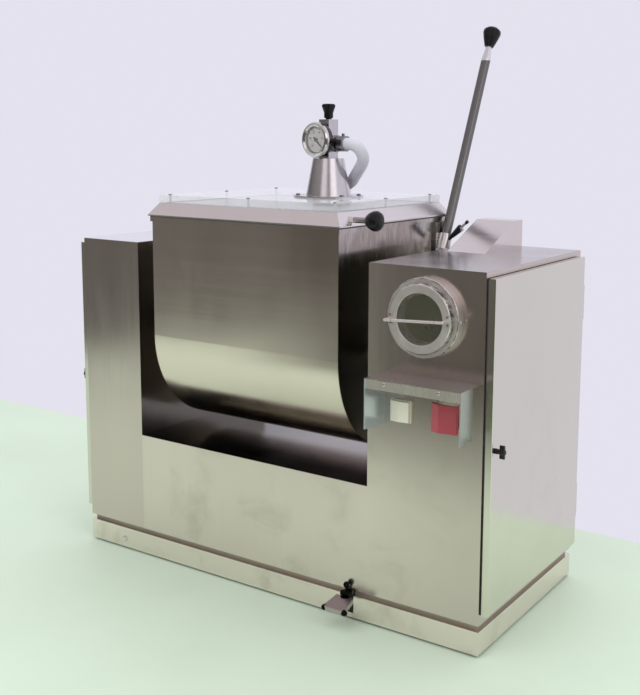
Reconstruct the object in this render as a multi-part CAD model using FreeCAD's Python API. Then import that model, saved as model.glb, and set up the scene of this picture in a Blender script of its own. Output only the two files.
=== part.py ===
import FreeCAD, Part
import math
import os

from FreeCAD import Vector

# Vacuum meat mixer with a tilting bowl, millimetres.
# Origin: middle of the footprint on the floor. +X is the operator's right,
# -Y is the front, +Z is up.

os.makedirs("parts", exist_ok=True)

# Cabinet
body_width = 1260.0
body_depth = 546.0
sheet = 3.0
foot_height = 6.0
foot_radius = 25.0
plinth_height = 57.0
plinth_sheet = 4.0
foot_pad = 40.0
groove_height = 15.0
groove_depth = 9.0
strip_width = 30.0
tray_height = 349.0
pedestal_top = 889.0
left_pedestal_width = 210.0
right_pedestal_width = 303.0
service_return = 14.0
rear_return = 22.0
cover_sheet = 2.0

# Doors
door_thickness = 16.0
door_gap = 4.0
door_bottom = 102.0
door_top_gap = 14.0
door_front_setback = 5.0
door_rear_setback = 17.0
door_hinge_radius = 6.0
door_knob_height = 487.0
door_knob_length = 23.0
door_knob_setback = 26.0

# Bowl
bowl_width = 600.0
bowl_left_gap = 72.0
bowl_radius = 262.0
bowl_axis_y = -26.0
bowl_axis_z = 644.0
bowl_wall = 4.0
bowl_end_wall = 5.0
bowl_rim_height = 962.0
rim_width = 4.0
rim_depth = 11.0
gasket_height = 3.7
gasket_gap = 0.3

# Trunnions and mixing shaft
trunnion_radius = 35.0
trunnion_bore = 25.0
trunnion_pad_radius = 75.0
trunnion_pad = 8.0
running_gap = 0.05
bearing_flange = 170.0
bearing_flange_thickness = 14.0
bearing_boss_radius = 55.0
bearing_boss_length = 26.0
shaft_radius = 20.0
seal_length = 34.0
brake_disc_radius = 90.0
brake_disc_thickness = 14.0

# Paddles
paddle_sweep = 250.0
paddle_pitch = 112.0
paddle_count = 5
paddle_hub_radius = 33.0
paddle_hub_length = 42.0
paddle_arm_radius = 13.0
paddle_blade_length = 150.0
paddle_blade_height = 58.0
paddle_blade_thickness = 9.0
paddle_angle = 38.0

# Gear drive
gear_module = 5.0
gear_teeth = 64
pinion_teeth = 16
gear_width = 28.0
gear_backlash = 0.5

# Lid
lid_overhang = 8.0
lid_rise = 34.0
lid_inset = 22.0
lid_flange = 20.0
window_thickness = 21.0
hinge_offset = 18.0
hinge_barrel_radius = 9.0
hinge_pin_radius = 5.0
hinge_spread = 190.0

# Vacuum turret
turret_offset_x = 102.0
turret_offset_y = -22.0
head_turn = -9.0
turret_flange_radius = 92.0
turret_flange_thickness = 4.0
turret_base_radius = 59.0
turret_top_radius = 41.0
turret_height = 96.0
valve_side = 35.0
valve_height = 100.0
valve_knob_radius = 17.5
valve_knob_height = 40.0
gauge_radius = 46.0
gauge_bezel = 11.5
gauge_depth = 30.0
gauge_reach = 38.0
gauge_height = 47.0
fitting_length = 47.0
fitting_height = 38.0
hose_radius = 15.5

# Tilt lever
lever_radius = 13.0
lever_offset = 23.0
lever_foot_y = 208.3
lever_foot_drop = 74.7
lever_lean = 24.3
lever_length = 598.0
lever_ferrule = 42.0
lever_knob_radius = 25.0
lever_knob_length = 57.0
sleeve_radius = 18.0
sleeve_below = 14.0
sleeve_above = 30.0
clamp_place = 4.0
clamp_rise = 42.3
clamp_reach = 20.2
clamp_bore = 5.0

# Vacuum trap on the right pedestal
trap_x = 484.0
trap_z = 776.0
trap_flange_radius = 86.7
trap_ring_radius = 92.0
trap_ring_thickness = 23.0
trap_step_radius = 54.0
trap_cover_radius = 80.5
trap_cover_thickness = 14.0
trap_window_radius = 59.0
trap_handle_half = 73.5
trap_handle_reach = 27.0
trap_handle_radius = 3.5
trap_handle_turn = 3.1
trap_can_radius = 74.0
trap_can_depth = 210.0
trap_pipe_x = -26.0
trap_pipe_z = -35.0
trap_pipe_length = 159.0
trap_pipe_radius = 9.0

# Control guard and switches
guard_x = 496.0
guard_width = 246.0
guard_depth = 88.0
guard_top = 638.0
guard_band = 23.0
guard_cheek = 119.5
guard_cheek_depth = 56.0
guard_wall_drop = 127.0
guard_sheet = 2.5
start_x = 421.0
start_z = 550.0
start_width = 48.5
start_height = 48.0
start_bezel = 2.0
stop_x = 543.0
stop_z = 554.5
stop_width = 64.0
stop_height = 65.0

# Foot pedal
pedal_inset = 51.0
pedal_width = 62.0
pedal_rear_width = 49.0
pedal_ball_radius = 8.0
pedal_pivot_y = -190.0
pedal_pivot_z = 84.0
pedal_arm_width = 22.0
brake_rod_radius = 7.0
brake_shoe_gap = 16.7

# Exhaust hood on top of the right pedestal
hood_inset = 33.0
hood_width = 108.0
hood_length = 220.0
hood_rear_gap = 9.0
hood_flat = 54.0
hood_rise = 72.0

# Vacuum pump and electrical box
pump_offset = 145.0
pump_half_width = 85.0
pump_front = -130.0
pump_rear = 20.0
pump_pad = 12.0
pump_case_height = 140.0
pump_motor_radius = 60.0
pump_motor_length = 170.0
separator_radius = 34.0
separator_height = 53.0
pump_port_height = 33.0
electrical_depth = 70.0
electrical_low = 420.0
electrical_high = 690.0
electrical_margin = 32.0

# Derived places
left_outer = -body_width / 2
right_outer = body_width / 2
left_inner = left_outer + left_pedestal_width
right_inner = right_outer - right_pedestal_width
front = -body_depth / 2
rear = body_depth / 2
plinth_top = foot_height + plinth_height
panel_bottom = plinth_top + groove_height
bowl_left = left_inner + bowl_left_gap
bowl_right = bowl_left + bowl_width
bowl_middle = (bowl_left + bowl_right) / 2
bowl_front = bowl_axis_y - bowl_radius
bowl_rear = bowl_axis_y + bowl_radius
gasket_base = bowl_rim_height
lid_base = gasket_base + gasket_height + gasket_gap
lid_top = lid_base + lid_rise
window_top = lid_top + window_thickness
hinge_y = bowl_rear + hinge_offset
hinge_z = lid_base + 2.0
valve_base = window_top + turret_flange_thickness + turret_height
valve_top = valve_base + valve_height
turret_x = bowl_middle + turret_offset_x
turret_y = bowl_axis_y + turret_offset_y
pedal_x = right_inner - pedal_inset
along_x = Vector(1, 0, 0)
along_y = Vector(0, 1, 0)
along_z = Vector(0, 0, 1)


def box(x0, x1, y0, y1, z0, z1):
    return Part.makeBox(x1 - x0, y1 - y0, z1 - z0, Vector(x0, y0, z0))


def rod(radius, start, end):
    start = Vector(*start)
    end = Vector(*end)
    return Part.makeCylinder(radius, (end - start).Length, start, end - start)


def ring(outer, inner, start, end):
    return rod(outer, start, end).cut(rod(inner, start, end))


def plate(points, thickness, direction):
    """Flat plate: a closed outline pushed along a direction."""
    wire = Part.makePolygon([Vector(*p) for p in points] + [Vector(*points[0])])
    return Part.Face(wire).extrude(direction * thickness)


def turned(profile, origin, direction):
    """Solid of revolution from (radius, height) pairs about a direction."""
    points = [Vector(radius, 0, height) for radius, height in profile]
    wire = Part.makePolygon(points + [points[0]])
    solid = Part.Face(wire).revolve(Vector(0, 0, 0), along_z, 360)
    solid.Placement = FreeCAD.Placement(origin, FreeCAD.Rotation(along_z, direction))
    return solid


def fuse(shapes):
    shapes = list(shapes)
    if len(shapes) == 1:
        return shapes[0]
    return shapes[0].fuse(shapes[1:]).removeSplitter()


def cap_screw(radius, height, point, direction, shank=0.0):
    """Domed screw head on a surface, with its shank into the work."""
    profile = [(0, -shank), (radius * 0.5, -shank), (radius * 0.5, 0), (radius, 0)]
    profile += [(radius, height * 0.5), (radius * 0.6, height), (0, height)]
    if shank == 0:
        profile = profile[0:1] + profile[3:]
    return turned(profile, point, direction)


def save(name, shapes):
    shapes = shapes if isinstance(shapes, list) else [shapes]
    shape = shapes[0] if len(shapes) == 1 else Part.makeCompound(shapes)
    shape.exportStep("parts/" + name + ".step")


# Plinth: an upturned pan with a pad over each foot and a slot for the pedal arm
slot_half = pedal_arm_width / 2 + 3
foot_places = [(x, y) for x in (left_outer + 70, right_outer - 70) for y in (front + 60, rear - 60)]
foot_places.append((0, 0))
plinth = box(left_outer, right_outer, front, rear, foot_height, plinth_top)
plinth = plinth.cut(box(
    left_outer + plinth_sheet, right_outer - plinth_sheet, front + plinth_sheet, rear - plinth_sheet,
    foot_height - 1, plinth_top - plinth_sheet,
))
for foot_x, foot_y in foot_places:
    plinth = plinth.fuse(box(
        foot_x - foot_pad, foot_x + foot_pad, foot_y - foot_pad, foot_y + foot_pad,
        foot_height, plinth_top - plinth_sheet,
    ))
pedal_slot = box(pedal_x - slot_half, pedal_x + slot_half, front - 1, 4, foot_height + 12, plinth_top + 1)
save("plinth_frame", plinth.cut(pedal_slot))

# Dark recessed strip between plinth and cabinet: a flat frame with cross bars, open over the pedal arm
strip_left = left_outer + groove_depth
strip_right = right_outer - groove_depth
strip = box(strip_left, strip_right, front + groove_depth, rear - groove_depth, plinth_top, panel_bottom)
for x0, x1 in (
    (strip_left + strip_width, left_inner - strip_width / 2),
    (left_inner + strip_width / 2, pedal_x - 2 * strip_width),
    (right_inner + strip_width / 2, strip_right - strip_width),
):
    strip = strip.cut(box(
        x0, x1, front + groove_depth + strip_width, rear - groove_depth - strip_width,
        plinth_top - 1, panel_bottom + 1,
    ))
strip_slot = box(pedal_x - slot_half, pedal_x + slot_half, front - 1, 4, plinth_top - 1, panel_bottom + 1)
save("plinth_strip", strip.cut(strip_slot))

# Levelling feet
foot_profile = [
    (0, 0), (foot_radius, 0), (foot_radius, foot_height * 0.5), (foot_radius * 0.7, foot_height), (0, foot_height),
]
save("levelling_feet", [turned(foot_profile, Vector(x, y, 0), along_z) for x, y in foot_places])


# Pedestals: folded shells, open on the door side and at the back
def pedestal(x0, x1, side):
    shell = box(x0, x1, front, rear, panel_bottom, pedestal_top)
    shell = shell.cut(box(
        x0 + sheet, x1 - sheet, front + sheet, rear - sheet,
        panel_bottom + sheet, pedestal_top - sheet,
    ))
    outer = x0 if side < 0 else x1
    shell = shell.cut(box(
        outer - sheet - 1, outer + sheet + 1,
        front + service_return, rear - rear_return,
        door_bottom + 6, pedestal_top - door_top_gap - 10,
    ))
    shell = shell.cut(box(
        x0 + rear_return, x1 - rear_return, rear - sheet - 1, rear + 1,
        panel_bottom + rear_return, pedestal_top - rear_return,
    ))
    inner = x1 if side < 0 else x0
    return shell.cut(rod(
        trunnion_radius + 2, (inner - sheet - 1, bowl_axis_y, bowl_axis_z),
        (inner + sheet + 1, bowl_axis_y, bowl_axis_z),
    ))


left_pedestal = pedestal(left_outer, left_inner, -1)
save("left_pedestal", left_pedestal)

right_pedestal = pedestal(right_inner, right_outer, 1)
right_pedestal = right_pedestal.cut(rod(
    trap_can_radius + 1, (trap_x, front - 1, trap_z), (trap_x, front + sheet + 1, trap_z),
))
right_pedestal = right_pedestal.cut(box(
    start_x - start_width / 2 - 0.3, start_x + start_width / 2 + 0.3, front - 1, front + sheet + 1,
    start_z - start_height / 2 - 0.3, start_z + start_height / 2 + 0.3,
))
hood_left = right_inner + hood_inset
hood_right = hood_left + hood_width
hood_rear = rear - hood_rear_gap
hood_front = hood_rear - hood_length
right_pedestal = right_pedestal.cut(box(
    hood_left + 30, hood_right - 30, hood_rear - 90, hood_rear - 30,
    pedestal_top - sheet - 1, pedestal_top + 1,
))
save("right_pedestal", right_pedestal)

# Low box between the pedestals: front panel, then tray with a rear apron
save("front_cross_panel", box(left_inner, right_inner, front, front + sheet, panel_bottom, tray_height))

tray = box(left_inner, right_inner, front + sheet, rear, tray_height - sheet, tray_height)
tray = tray.fuse(box(left_inner, right_inner, rear - sheet, rear, panel_bottom, tray_height - sheet))

guide = ring(
    brake_rod_radius * 2, brake_rod_radius + running_gap,
    (pedal_x, bowl_axis_y, tray_height - sheet - 12), (pedal_x, bowl_axis_y, tray_height + 30),
)
guide_hole = rod(
    brake_rod_radius + running_gap,
    (pedal_x, bowl_axis_y, tray_height - sheet - 1), (pedal_x, bowl_axis_y, tray_height + 1),
)
save("drip_tray", tray.cut(guide_hole).fuse(guide).removeSplitter())

# Rear covers and the cabinet's small screws
covers = []
screws = []
for x0, x1 in ((left_outer, left_inner), (right_inner, right_outer)):
    cover_margin = rear_return - 12
    covers.append(box(
        x0 + cover_margin, x1 - cover_margin, rear, rear + cover_sheet,
        panel_bottom + cover_margin, pedestal_top - cover_margin,
    ))
    for screw_x in (x0 + cover_margin + 6, x1 - cover_margin - 6):
        low = panel_bottom + cover_margin + 6
        rise = pedestal_top - cover_margin - 6 - low
        for number in range(4):
            screws.append(cap_screw(
                4, 2.5, Vector(screw_x, rear + cover_sheet, low + rise * number / 3), along_y,
            ))
save("rear_covers", covers)

guard_left = guard_x - guard_width / 2
guard_right = guard_x + guard_width / 2
guard_front = front - guard_depth
for screw_x in (guard_left + 52, guard_right - 55):
    screws.append(cap_screw(4, 2, Vector(screw_x, guard_front, guard_top - guard_band * 0.35), Vector(0, -1, 0)))
screws.append(turned(
    [(0, 0), (8, 0), (8, 5), (6.5, 6), (0, 6)],
    Vector(left_outer + 132, front, plinth_height / 2), Vector(0, -1, 0),
))
for number in range(4):
    angle = math.radians(90 * number)
    outward = Vector(math.cos(angle), 0, math.sin(angle))
    ring_side = Vector(trap_x, front - 11, trap_z) + outward * trap_ring_radius
    screws.append(turned([(0, 0), (3.5, 0), (3.5, 1.7), (2, 2.4), (0, 2.4)], ring_side, outward))
save("cabinet_screws", screws)

# Exhaust hood: folded wedge, open at the back
hood_outline = [(hood_front, 0), (hood_rear, 0), (hood_rear, hood_rise), (hood_rear - hood_flat, hood_rise)]
hood = plate([(hood_left, y, pedestal_top + z) for y, z in hood_outline], hood_width, along_x)
hood_core = [
    (hood_front + cover_sheet * 3, 0), (hood_rear + 1, 0),
    (hood_rear + 1, hood_rise - cover_sheet), (hood_rear - hood_flat, hood_rise - cover_sheet),
]
core = plate(
    [(hood_left + cover_sheet, y, pedestal_top + z) for y, z in hood_core],
    hood_width - 2 * cover_sheet, along_x,
)
save("exhaust_hood", hood.cut(core))


# Trunnion bearings bolted inside the inner walls
def bearing(wall_x, side):
    seat = wall_x
    face = seat + side * bearing_flange_thickness
    end = face + side * bearing_boss_length
    half = bearing_flange / 2
    body = box(
        min(seat, face), max(seat, face), bowl_axis_y - half, bowl_axis_y + half,
        bowl_axis_z - half, bowl_axis_z + half,
    )
    body = body.fuse(rod(
        bearing_boss_radius, (face, bowl_axis_y, bowl_axis_z), (end, bowl_axis_y, bowl_axis_z),
    ))
    for bolt_y in (-half + 18, half - 18):
        for bolt_z in (-half + 18, half - 18):
            body = body.fuse(turned(
                [(0, 0), (9, 0), (9, 7), (0, 7)],
                Vector(face, bowl_axis_y + bolt_y, bowl_axis_z + bolt_z), along_x * side,
            ))
    return body.cut(rod(
        trunnion_radius + running_gap,
        (seat - side, bowl_axis_y, bowl_axis_z), (end + side, bowl_axis_y, bowl_axis_z),
    )), end


left_bearing, left_bearing_end = bearing(left_inner - sheet, -1)
right_bearing, right_bearing_end = bearing(right_inner + sheet, 1)
save("trunnion_bearings", [left_bearing, right_bearing])

# Bowl: round-bottomed trough with flat ends and a folded rim
trough_height = bowl_rim_height - bowl_axis_z


def trough(x0, x1, radius, top):
    body = rod(radius, (x0, bowl_axis_y, bowl_axis_z), (x1, bowl_axis_y, bowl_axis_z))
    upper = box(
        x0, x1, bowl_axis_y - radius, bowl_axis_y + radius,
        bowl_axis_z, bowl_axis_z + top,
    )
    return body.fuse(upper).removeSplitter()


bowl = trough(bowl_left, bowl_right, bowl_radius, trough_height)
rim = box(
    bowl_left - rim_width, bowl_right + rim_width,
    bowl_front - rim_width, bowl_rear + rim_width,
    bowl_rim_height - rim_depth, bowl_rim_height,
)
bowl = bowl.fuse(rim)
bowl = bowl.cut(trough(
    bowl_left + bowl_end_wall, bowl_right - bowl_end_wall, bowl_radius - bowl_wall, trough_height + 1,
))
bowl = bowl.cut(rod(
    trunnion_bore, (bowl_left - 1, bowl_axis_y, bowl_axis_z), (bowl_right + 1, bowl_axis_y, bowl_axis_z),
))
save("bowl_shell", bowl)

gasket_inner = bowl_wall
gasket = box(
    bowl_left - rim_width, bowl_right + rim_width, bowl_front - rim_width, bowl_rear + rim_width,
    gasket_base, gasket_base + gasket_height,
)
save("lid_gasket", gasket.cut(box(
    bowl_left + gasket_inner, bowl_right - gasket_inner,
    bowl_front + gasket_inner, bowl_rear - gasket_inner,
    gasket_base - 1, gasket_base + gasket_height + 1,
)))


# Hollow trunnions; the right one carries the brake disc
def trunnion(wall_x, end_x):
    side = 1 if end_x > wall_x else -1
    body = rod(trunnion_radius, (wall_x, bowl_axis_y, bowl_axis_z), (end_x, bowl_axis_y, bowl_axis_z))
    body = body.fuse(rod(
        trunnion_pad_radius, (wall_x, bowl_axis_y, bowl_axis_z),
        (wall_x + side * trunnion_pad, bowl_axis_y, bowl_axis_z),
    ))
    return body, rod(
        trunnion_bore, (wall_x - side, bowl_axis_y, bowl_axis_z), (end_x + side, bowl_axis_y, bowl_axis_z),
    )


body, bore = trunnion(bowl_left, left_bearing_end - 4)
save("left_trunnion", body.cut(bore))
body, bore = trunnion(bowl_right, right_bearing_end + 4)
brake_disc = rod(
    brake_disc_radius, (pedal_x - brake_disc_thickness / 2, bowl_axis_y, bowl_axis_z),
    (pedal_x + brake_disc_thickness / 2, bowl_axis_y, bowl_axis_z),
)
save("right_trunnion", body.fuse(brake_disc).cut(bore))

seals = []
for wall_x, side in ((bowl_left + bowl_end_wall, -1), (bowl_right - bowl_end_wall, 1)):
    inside = wall_x - side * 4
    outside = inside + side * seal_length
    lip = wall_x - side * 0.2
    seal = ring(
        trunnion_bore - 0.02, shaft_radius + running_gap,
        (inside, bowl_axis_y, bowl_axis_z), (outside, bowl_axis_y, bowl_axis_z),
    )
    collar = ring(
        trunnion_bore + 8, shaft_radius + running_gap,
        (inside, bowl_axis_y, bowl_axis_z), (lip, bowl_axis_y, bowl_axis_z),
    )
    seals.append(seal.fuse(collar).removeSplitter())
save("shaft_seals", seals)

# Mixing shaft, from the gear to the blind right trunnion
gear_right = left_bearing_end - 9
gear_left = gear_right - gear_width
shaft = rod(
    shaft_radius, (gear_left - 12, bowl_axis_y, bowl_axis_z), (bowl_right + 50, bowl_axis_y, bowl_axis_z),
)
save("mixing_shaft", shaft)


# Paddles: clamped hub, round arm and a twisted blade shaped to the bowl's curve
def paddle(place_x, phase, twist):
    blade = box(
        -paddle_blade_length / 2, paddle_blade_length / 2,
        -paddle_blade_thickness / 2, paddle_blade_thickness / 2,
        paddle_sweep - paddle_blade_height, paddle_sweep + 5,
    )
    blade.rotate(Vector(0, 0, 0), along_z, twist)
    blade = blade.common(rod(paddle_sweep, (-200, 0, 0), (200, 0, 0)))
    arm = rod(
        paddle_arm_radius, (0, 0, paddle_hub_radius - 6),
        (0, 0, paddle_sweep - paddle_blade_height * 0.45),
    )
    hub = rod(paddle_hub_radius, (-paddle_hub_length / 2, 0, 0), (paddle_hub_length / 2, 0, 0))
    body = hub.fuse([arm, blade]).removeSplitter()
    body = body.cut(rod(shaft_radius + 0.02, (-paddle_hub_length, 0, 0), (paddle_hub_length, 0, 0)))
    body.rotate(Vector(0, 0, 0), along_x, phase)
    body.translate(Vector(place_x, bowl_axis_y, bowl_axis_z))
    return body


paddles = []
for number in range(paddle_count):
    place_x = bowl_middle + (number - (paddle_count - 1) / 2) * paddle_pitch
    twist = paddle_angle if number % 2 == 0 else -paddle_angle
    paddles.append(paddle(place_x, 60 + number * 144, twist))
save("mixing_paddles", paddles)


# Spur gears with involute flanks
def involute(angle):
    return math.tan(angle) - angle


def gear(teeth, phase, center_y, center_z, bore):
    pitch_radius = gear_module * teeth / 2
    base_radius = pitch_radius * math.cos(math.radians(20))
    root_radius = pitch_radius - 1.25 * gear_module
    tip_radius = pitch_radius + 0.95 * gear_module
    half_tooth = math.pi / (2 * teeth) - gear_backlash / (4 * pitch_radius)
    start = max(base_radius, root_radius)
    flank = [start + (tip_radius - start) * step / 3 for step in range(4)]
    points = []
    for tooth in range(teeth):
        middle = math.radians(phase) + tooth * 2 * math.pi / teeth
        side = []
        for radius in flank:
            slope = math.acos(min(1.0, base_radius / radius))
            spread = half_tooth + involute(math.radians(20)) - involute(slope)
            side.append((radius, spread))
        side = [(root_radius, side[0][1] + 0.1 * half_tooth)] + side
        for radius, spread in side:
            points.append((radius, middle - spread))
        for radius, spread in reversed(side):
            points.append((radius, middle + spread))
    outline = [
        (gear_left, center_y + radius * math.cos(angle), center_z + radius * math.sin(angle))
        for radius, angle in points
    ]
    body = plate(outline, gear_width, along_x)
    return body.cut(rod(bore, (gear_left - 1, center_y, center_z), (gear_right + 1, center_y, center_z)))


drive_gear = gear(gear_teeth, 0, bowl_axis_y, bowl_axis_z, shaft_radius + 0.02)
for spoke in range(6):
    angle = math.radians(30 + 60 * spoke)
    hole_y = bowl_axis_y + 96 * math.cos(angle)
    hole_z = bowl_axis_z + 96 * math.sin(angle)
    drive_gear = drive_gear.cut(rod(28, (gear_left - 1, hole_y, hole_z), (gear_right + 1, hole_y, hole_z)))
save("drive_gear", drive_gear)

pinion_z = bowl_axis_z - gear_module * (gear_teeth + pinion_teeth) / 2
pinion_shaft_radius = 14.0
gearbox_face = gear_left - 14
pinion = gear(pinion_teeth, 180 / pinion_teeth, bowl_axis_y, pinion_z, pinion_shaft_radius)
pinion = pinion.fuse(rod(
    pinion_shaft_radius, (gearbox_face - 40, bowl_axis_y, pinion_z), (gear_right + 3, bowl_axis_y, pinion_z),
))
save("drive_pinion", pinion)

# Gearmotor: worm gearbox with its motor hanging below
gearbox_width = left_outer + sheet + 12
gearbox = box(
    gearbox_width, gearbox_face, bowl_axis_y - 72, bowl_axis_y + 72, pinion_z - 72, pinion_z + 68,
)
motor_x = (gearbox_width + gearbox_face) / 2
motor_radius = (gearbox_face - gearbox_width) / 2 - 2
gearbox = gearbox.fuse(rod(
    motor_radius + 2, (motor_x, bowl_axis_y, pinion_z - 84), (motor_x, bowl_axis_y, pinion_z - 72),
))
motor = rod(motor_radius - 3, (motor_x, bowl_axis_y, 140), (motor_x, bowl_axis_y, pinion_z - 84))
for fin in range(9):
    fin_z = 180 + fin * 19
    motor = motor.fuse(rod(motor_radius, (motor_x, bowl_axis_y, fin_z), (motor_x, bowl_axis_y, fin_z + 5)))
motor = motor.fuse(rod(motor_radius, (motor_x, bowl_axis_y, 128), (motor_x, bowl_axis_y, 166)))
gearmotor = gearbox.fuse(motor)
gearmotor = gearmotor.cut(rod(
    pinion_shaft_radius + running_gap,
    (gearbox_face - 41, bowl_axis_y, pinion_z), (gearbox_face + 1, bowl_axis_y, pinion_z),
))
save("gearmotor", gearmotor)

# Motor bracket: channel that carries the gearbox from the inner wall
bracket_half = 96.0
bracket_low = pinion_z - 96
bracket_high = pinion_z + 50
wall = left_inner - sheet
bracket = box(
    gearbox_face, gearbox_face + 6, bowl_axis_y - bracket_half, bowl_axis_y + bracket_half,
    bracket_low, bracket_high,
)
for side in (-1, 1):
    y0 = bowl_axis_y + side * bracket_half
    y1 = y0 - side * 6
    y2 = y0 + side * 22
    bracket = bracket.fuse(box(gearbox_face, wall, min(y0, y1), max(y0, y1), bracket_low, bracket_high))
    bracket = bracket.fuse(box(wall - 6, wall, min(y1, y2), max(y1, y2), bracket_low, bracket_high))
bracket = bracket.cut(rod(
    pinion_shaft_radius + 8, (gearbox_face - 1, bowl_axis_y, pinion_z), (gearbox_face + 7, bowl_axis_y, pinion_z),
))
save("motor_bracket", bracket.removeSplitter())

# Vacuum pump on the floor of the right pedestal
pump_floor = panel_bottom + sheet
pump_x = right_inner + pump_offset
pump_low = pump_floor + pump_pad
pump_high = pump_low + pump_case_height
motor_z = pump_low + pump_case_height / 2
separator_y = (pump_front + pump_rear) / 2
pump = box(pump_x - pump_half_width, pump_x + pump_half_width, pump_front, pump_rear, pump_low, pump_high)
pump = pump.fuse(rod(
    pump_motor_radius, (pump_x, pump_rear, motor_z), (pump_x, pump_rear + pump_motor_length, motor_z),
))
for port_radius, port_place, port_height in (
    (separator_radius, -pump_half_width / 2, separator_height), (12, pump_half_width / 2, pump_port_height),
):
    pump = pump.fuse(rod(
        port_radius, (pump_x + port_place, separator_y, pump_high),
        (pump_x + port_place, separator_y, pump_high + port_height),
    ))
for pad_x in (pump_x - pump_half_width + 15, pump_x + pump_half_width - 15):
    for pad_y in (pump_front + 15, pump_rear - 15):
        pump = pump.fuse(rod(12, (pad_x, pad_y, pump_floor), (pad_x, pad_y, pump_low)))
save("vacuum_pump", pump.removeSplitter())

# Electrical box on the inner wall behind the bearing
save("electrical_box", box(
    right_inner + sheet, right_inner + sheet + electrical_depth,
    bowl_axis_y + bearing_flange / 2 + 16, rear - electrical_margin, electrical_low, electrical_high,
))

# Vacuum trap: can through the front wall, clamp ring, and a turning cover with window and handle
to_front = Vector(0, -1, 0)
trap_back = front - 8 + trap_can_depth
can = turned(
    [(0, 0), (trap_can_radius, 0), (trap_can_radius, trap_can_depth - 8),
     (trap_flange_radius, trap_can_depth - 8), (trap_flange_radius, trap_can_depth),
     (trap_can_radius - 3, trap_can_depth), (trap_can_radius - 3, 3), (0, 3)],
    Vector(trap_x, trap_back, trap_z), to_front,
)
pipe_x = trap_x + trap_pipe_x
pipe_z = trap_z + trap_pipe_z
pipe_mouth = trap_back - trap_pipe_length
can = can.fuse(rod(trap_pipe_radius, (pipe_x, pipe_mouth, pipe_z), (pipe_x, trap_back, pipe_z)))
can = can.fuse(rod(trap_pipe_radius + 4, (pipe_x, trap_back, pipe_z), (pipe_x, trap_back + 30, pipe_z)))
can = can.cut(rod(trap_pipe_radius - 3, (pipe_x, pipe_mouth - 1, pipe_z), (pipe_x, trap_back + 20, pipe_z)))
save("trap_canister", can.removeSplitter())

save("trap_ring", turned(
    [(trap_flange_radius + 0.3, 0), (trap_ring_radius, 0), (trap_ring_radius, trap_ring_thickness - 2),
     (trap_ring_radius - 2, trap_ring_thickness), (trap_step_radius, trap_ring_thickness),
     (trap_step_radius, 8), (trap_flange_radius + 0.3, 8)],
    Vector(trap_x, front, trap_z), to_front,
))

cover_back = front - trap_ring_thickness - running_gap
cover_front = cover_back - trap_cover_thickness
glass_room = trap_window_radius + 7
cover_profile = [
    (glass_room, 0), (trap_cover_radius - 1.5, 0), (trap_cover_radius, 1.5),
    (trap_cover_radius, trap_cover_thickness - 3), (trap_cover_radius - 3, trap_cover_thickness),
    (trap_window_radius + 1, trap_cover_thickness), (trap_window_radius, trap_cover_thickness - 1),
    (trap_window_radius, trap_cover_thickness - 4), (glass_room, trap_cover_thickness - 4),
]
save("trap_cover", turned(cover_profile, Vector(trap_x, cover_back, trap_z), to_front))
save("trap_glass", rod(
    glass_room - 0.2, (trap_x, cover_back - 1, trap_z), (trap_x, cover_front + 4, trap_z),
))


# Handle across the cover: round bar, two legs and two screwed feet, slightly turned
def on_trap(shape):
    shape.rotate(Vector(0, 0, 0), along_y, -trap_handle_turn)
    shape.translate(Vector(trap_x, 0, trap_z))
    return shape


bar_y = cover_front - trap_handle_reach
handle = rod(trap_handle_radius, (-trap_handle_half, bar_y, 0), (trap_handle_half, bar_y, 0))
trap_screws = []
for end in (-trap_handle_half, trap_handle_half):
    handle = handle.fuse(Part.makeSphere(trap_handle_radius, Vector(end, bar_y, 0)))
    handle = handle.fuse(rod(trap_handle_radius, (end, bar_y, 0), (end, cover_front, 0)))
    handle = handle.fuse(box(end - 4.5, end + 4.5, cover_front - 2.5, cover_front, -13, 13))
    for screw_z in (-9, 9):
        trap_screws.append(on_trap(cap_screw(3, 2, Vector(end, cover_front - 2.5, screw_z), to_front)))
save("trap_handle", on_trap(handle.removeSplitter()))
save("trap_screws", trap_screws)

# Control guard: folded roof with a front band and slanted cheeks
guard = box(guard_left, guard_right, guard_front, front, guard_top - guard_sheet, guard_top)
guard = guard.fuse(box(
    guard_left, guard_right, guard_front, guard_front + guard_sheet, guard_top - guard_band, guard_top,
))
cheek_foot = guard_top - guard_cheek
long_cheek = [
    (guard_front, guard_top), (front, guard_top), (front, guard_top - guard_wall_drop), (guard_front, cheek_foot),
]
guard = guard.fuse(plate([(guard_left, y, z) for y, z in long_cheek], guard_sheet, along_x))
guard = guard.fuse(box(
    guard_right - guard_sheet, guard_right, guard_front, guard_front + guard_cheek_depth, cheek_foot, guard_top,
))
save("control_guard", guard.removeSplitter())

# Switches: bezel and housing of the start button, hinge plate of the stop flap
half_w = start_width / 2
half_h = start_height / 2
pocket = box(
    start_x - half_w - 0.3, start_x + half_w + 0.3, front - 5, front + 17,
    start_z - half_h - 0.3, start_z + half_h + 0.3,
)
bezel = box(
    start_x - half_w - start_bezel, start_x + half_w + start_bezel, front - 3, front,
    start_z - half_h - start_bezel, start_z + half_h + start_bezel,
)
housing = box(
    start_x - half_w - 5, start_x + half_w + 5, front + sheet, front + 40,
    start_z - half_h - 5, start_z + half_h + 5,
)
flap_pivot_y = front - 11
flap_pivot_z = stop_z + stop_height / 2 - 7
stop_base = box(stop_x - 24, stop_x + 24, front - 4, front, stop_z + 6, stop_z + stop_height / 2 + 6)
stop_lug = box(stop_x - 15, stop_x + 15, flap_pivot_y - 5, front - 4, flap_pivot_z - 5, flap_pivot_z + 5)
stop_bore = rod(
    2.5 + running_gap, (stop_x - 16, flap_pivot_y, flap_pivot_z), (stop_x + 16, flap_pivot_y, flap_pivot_z),
)
save("switch_bases", [bezel.cut(pocket), housing.cut(pocket), stop_base.fuse(stop_lug).cut(stop_bore)])

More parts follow.
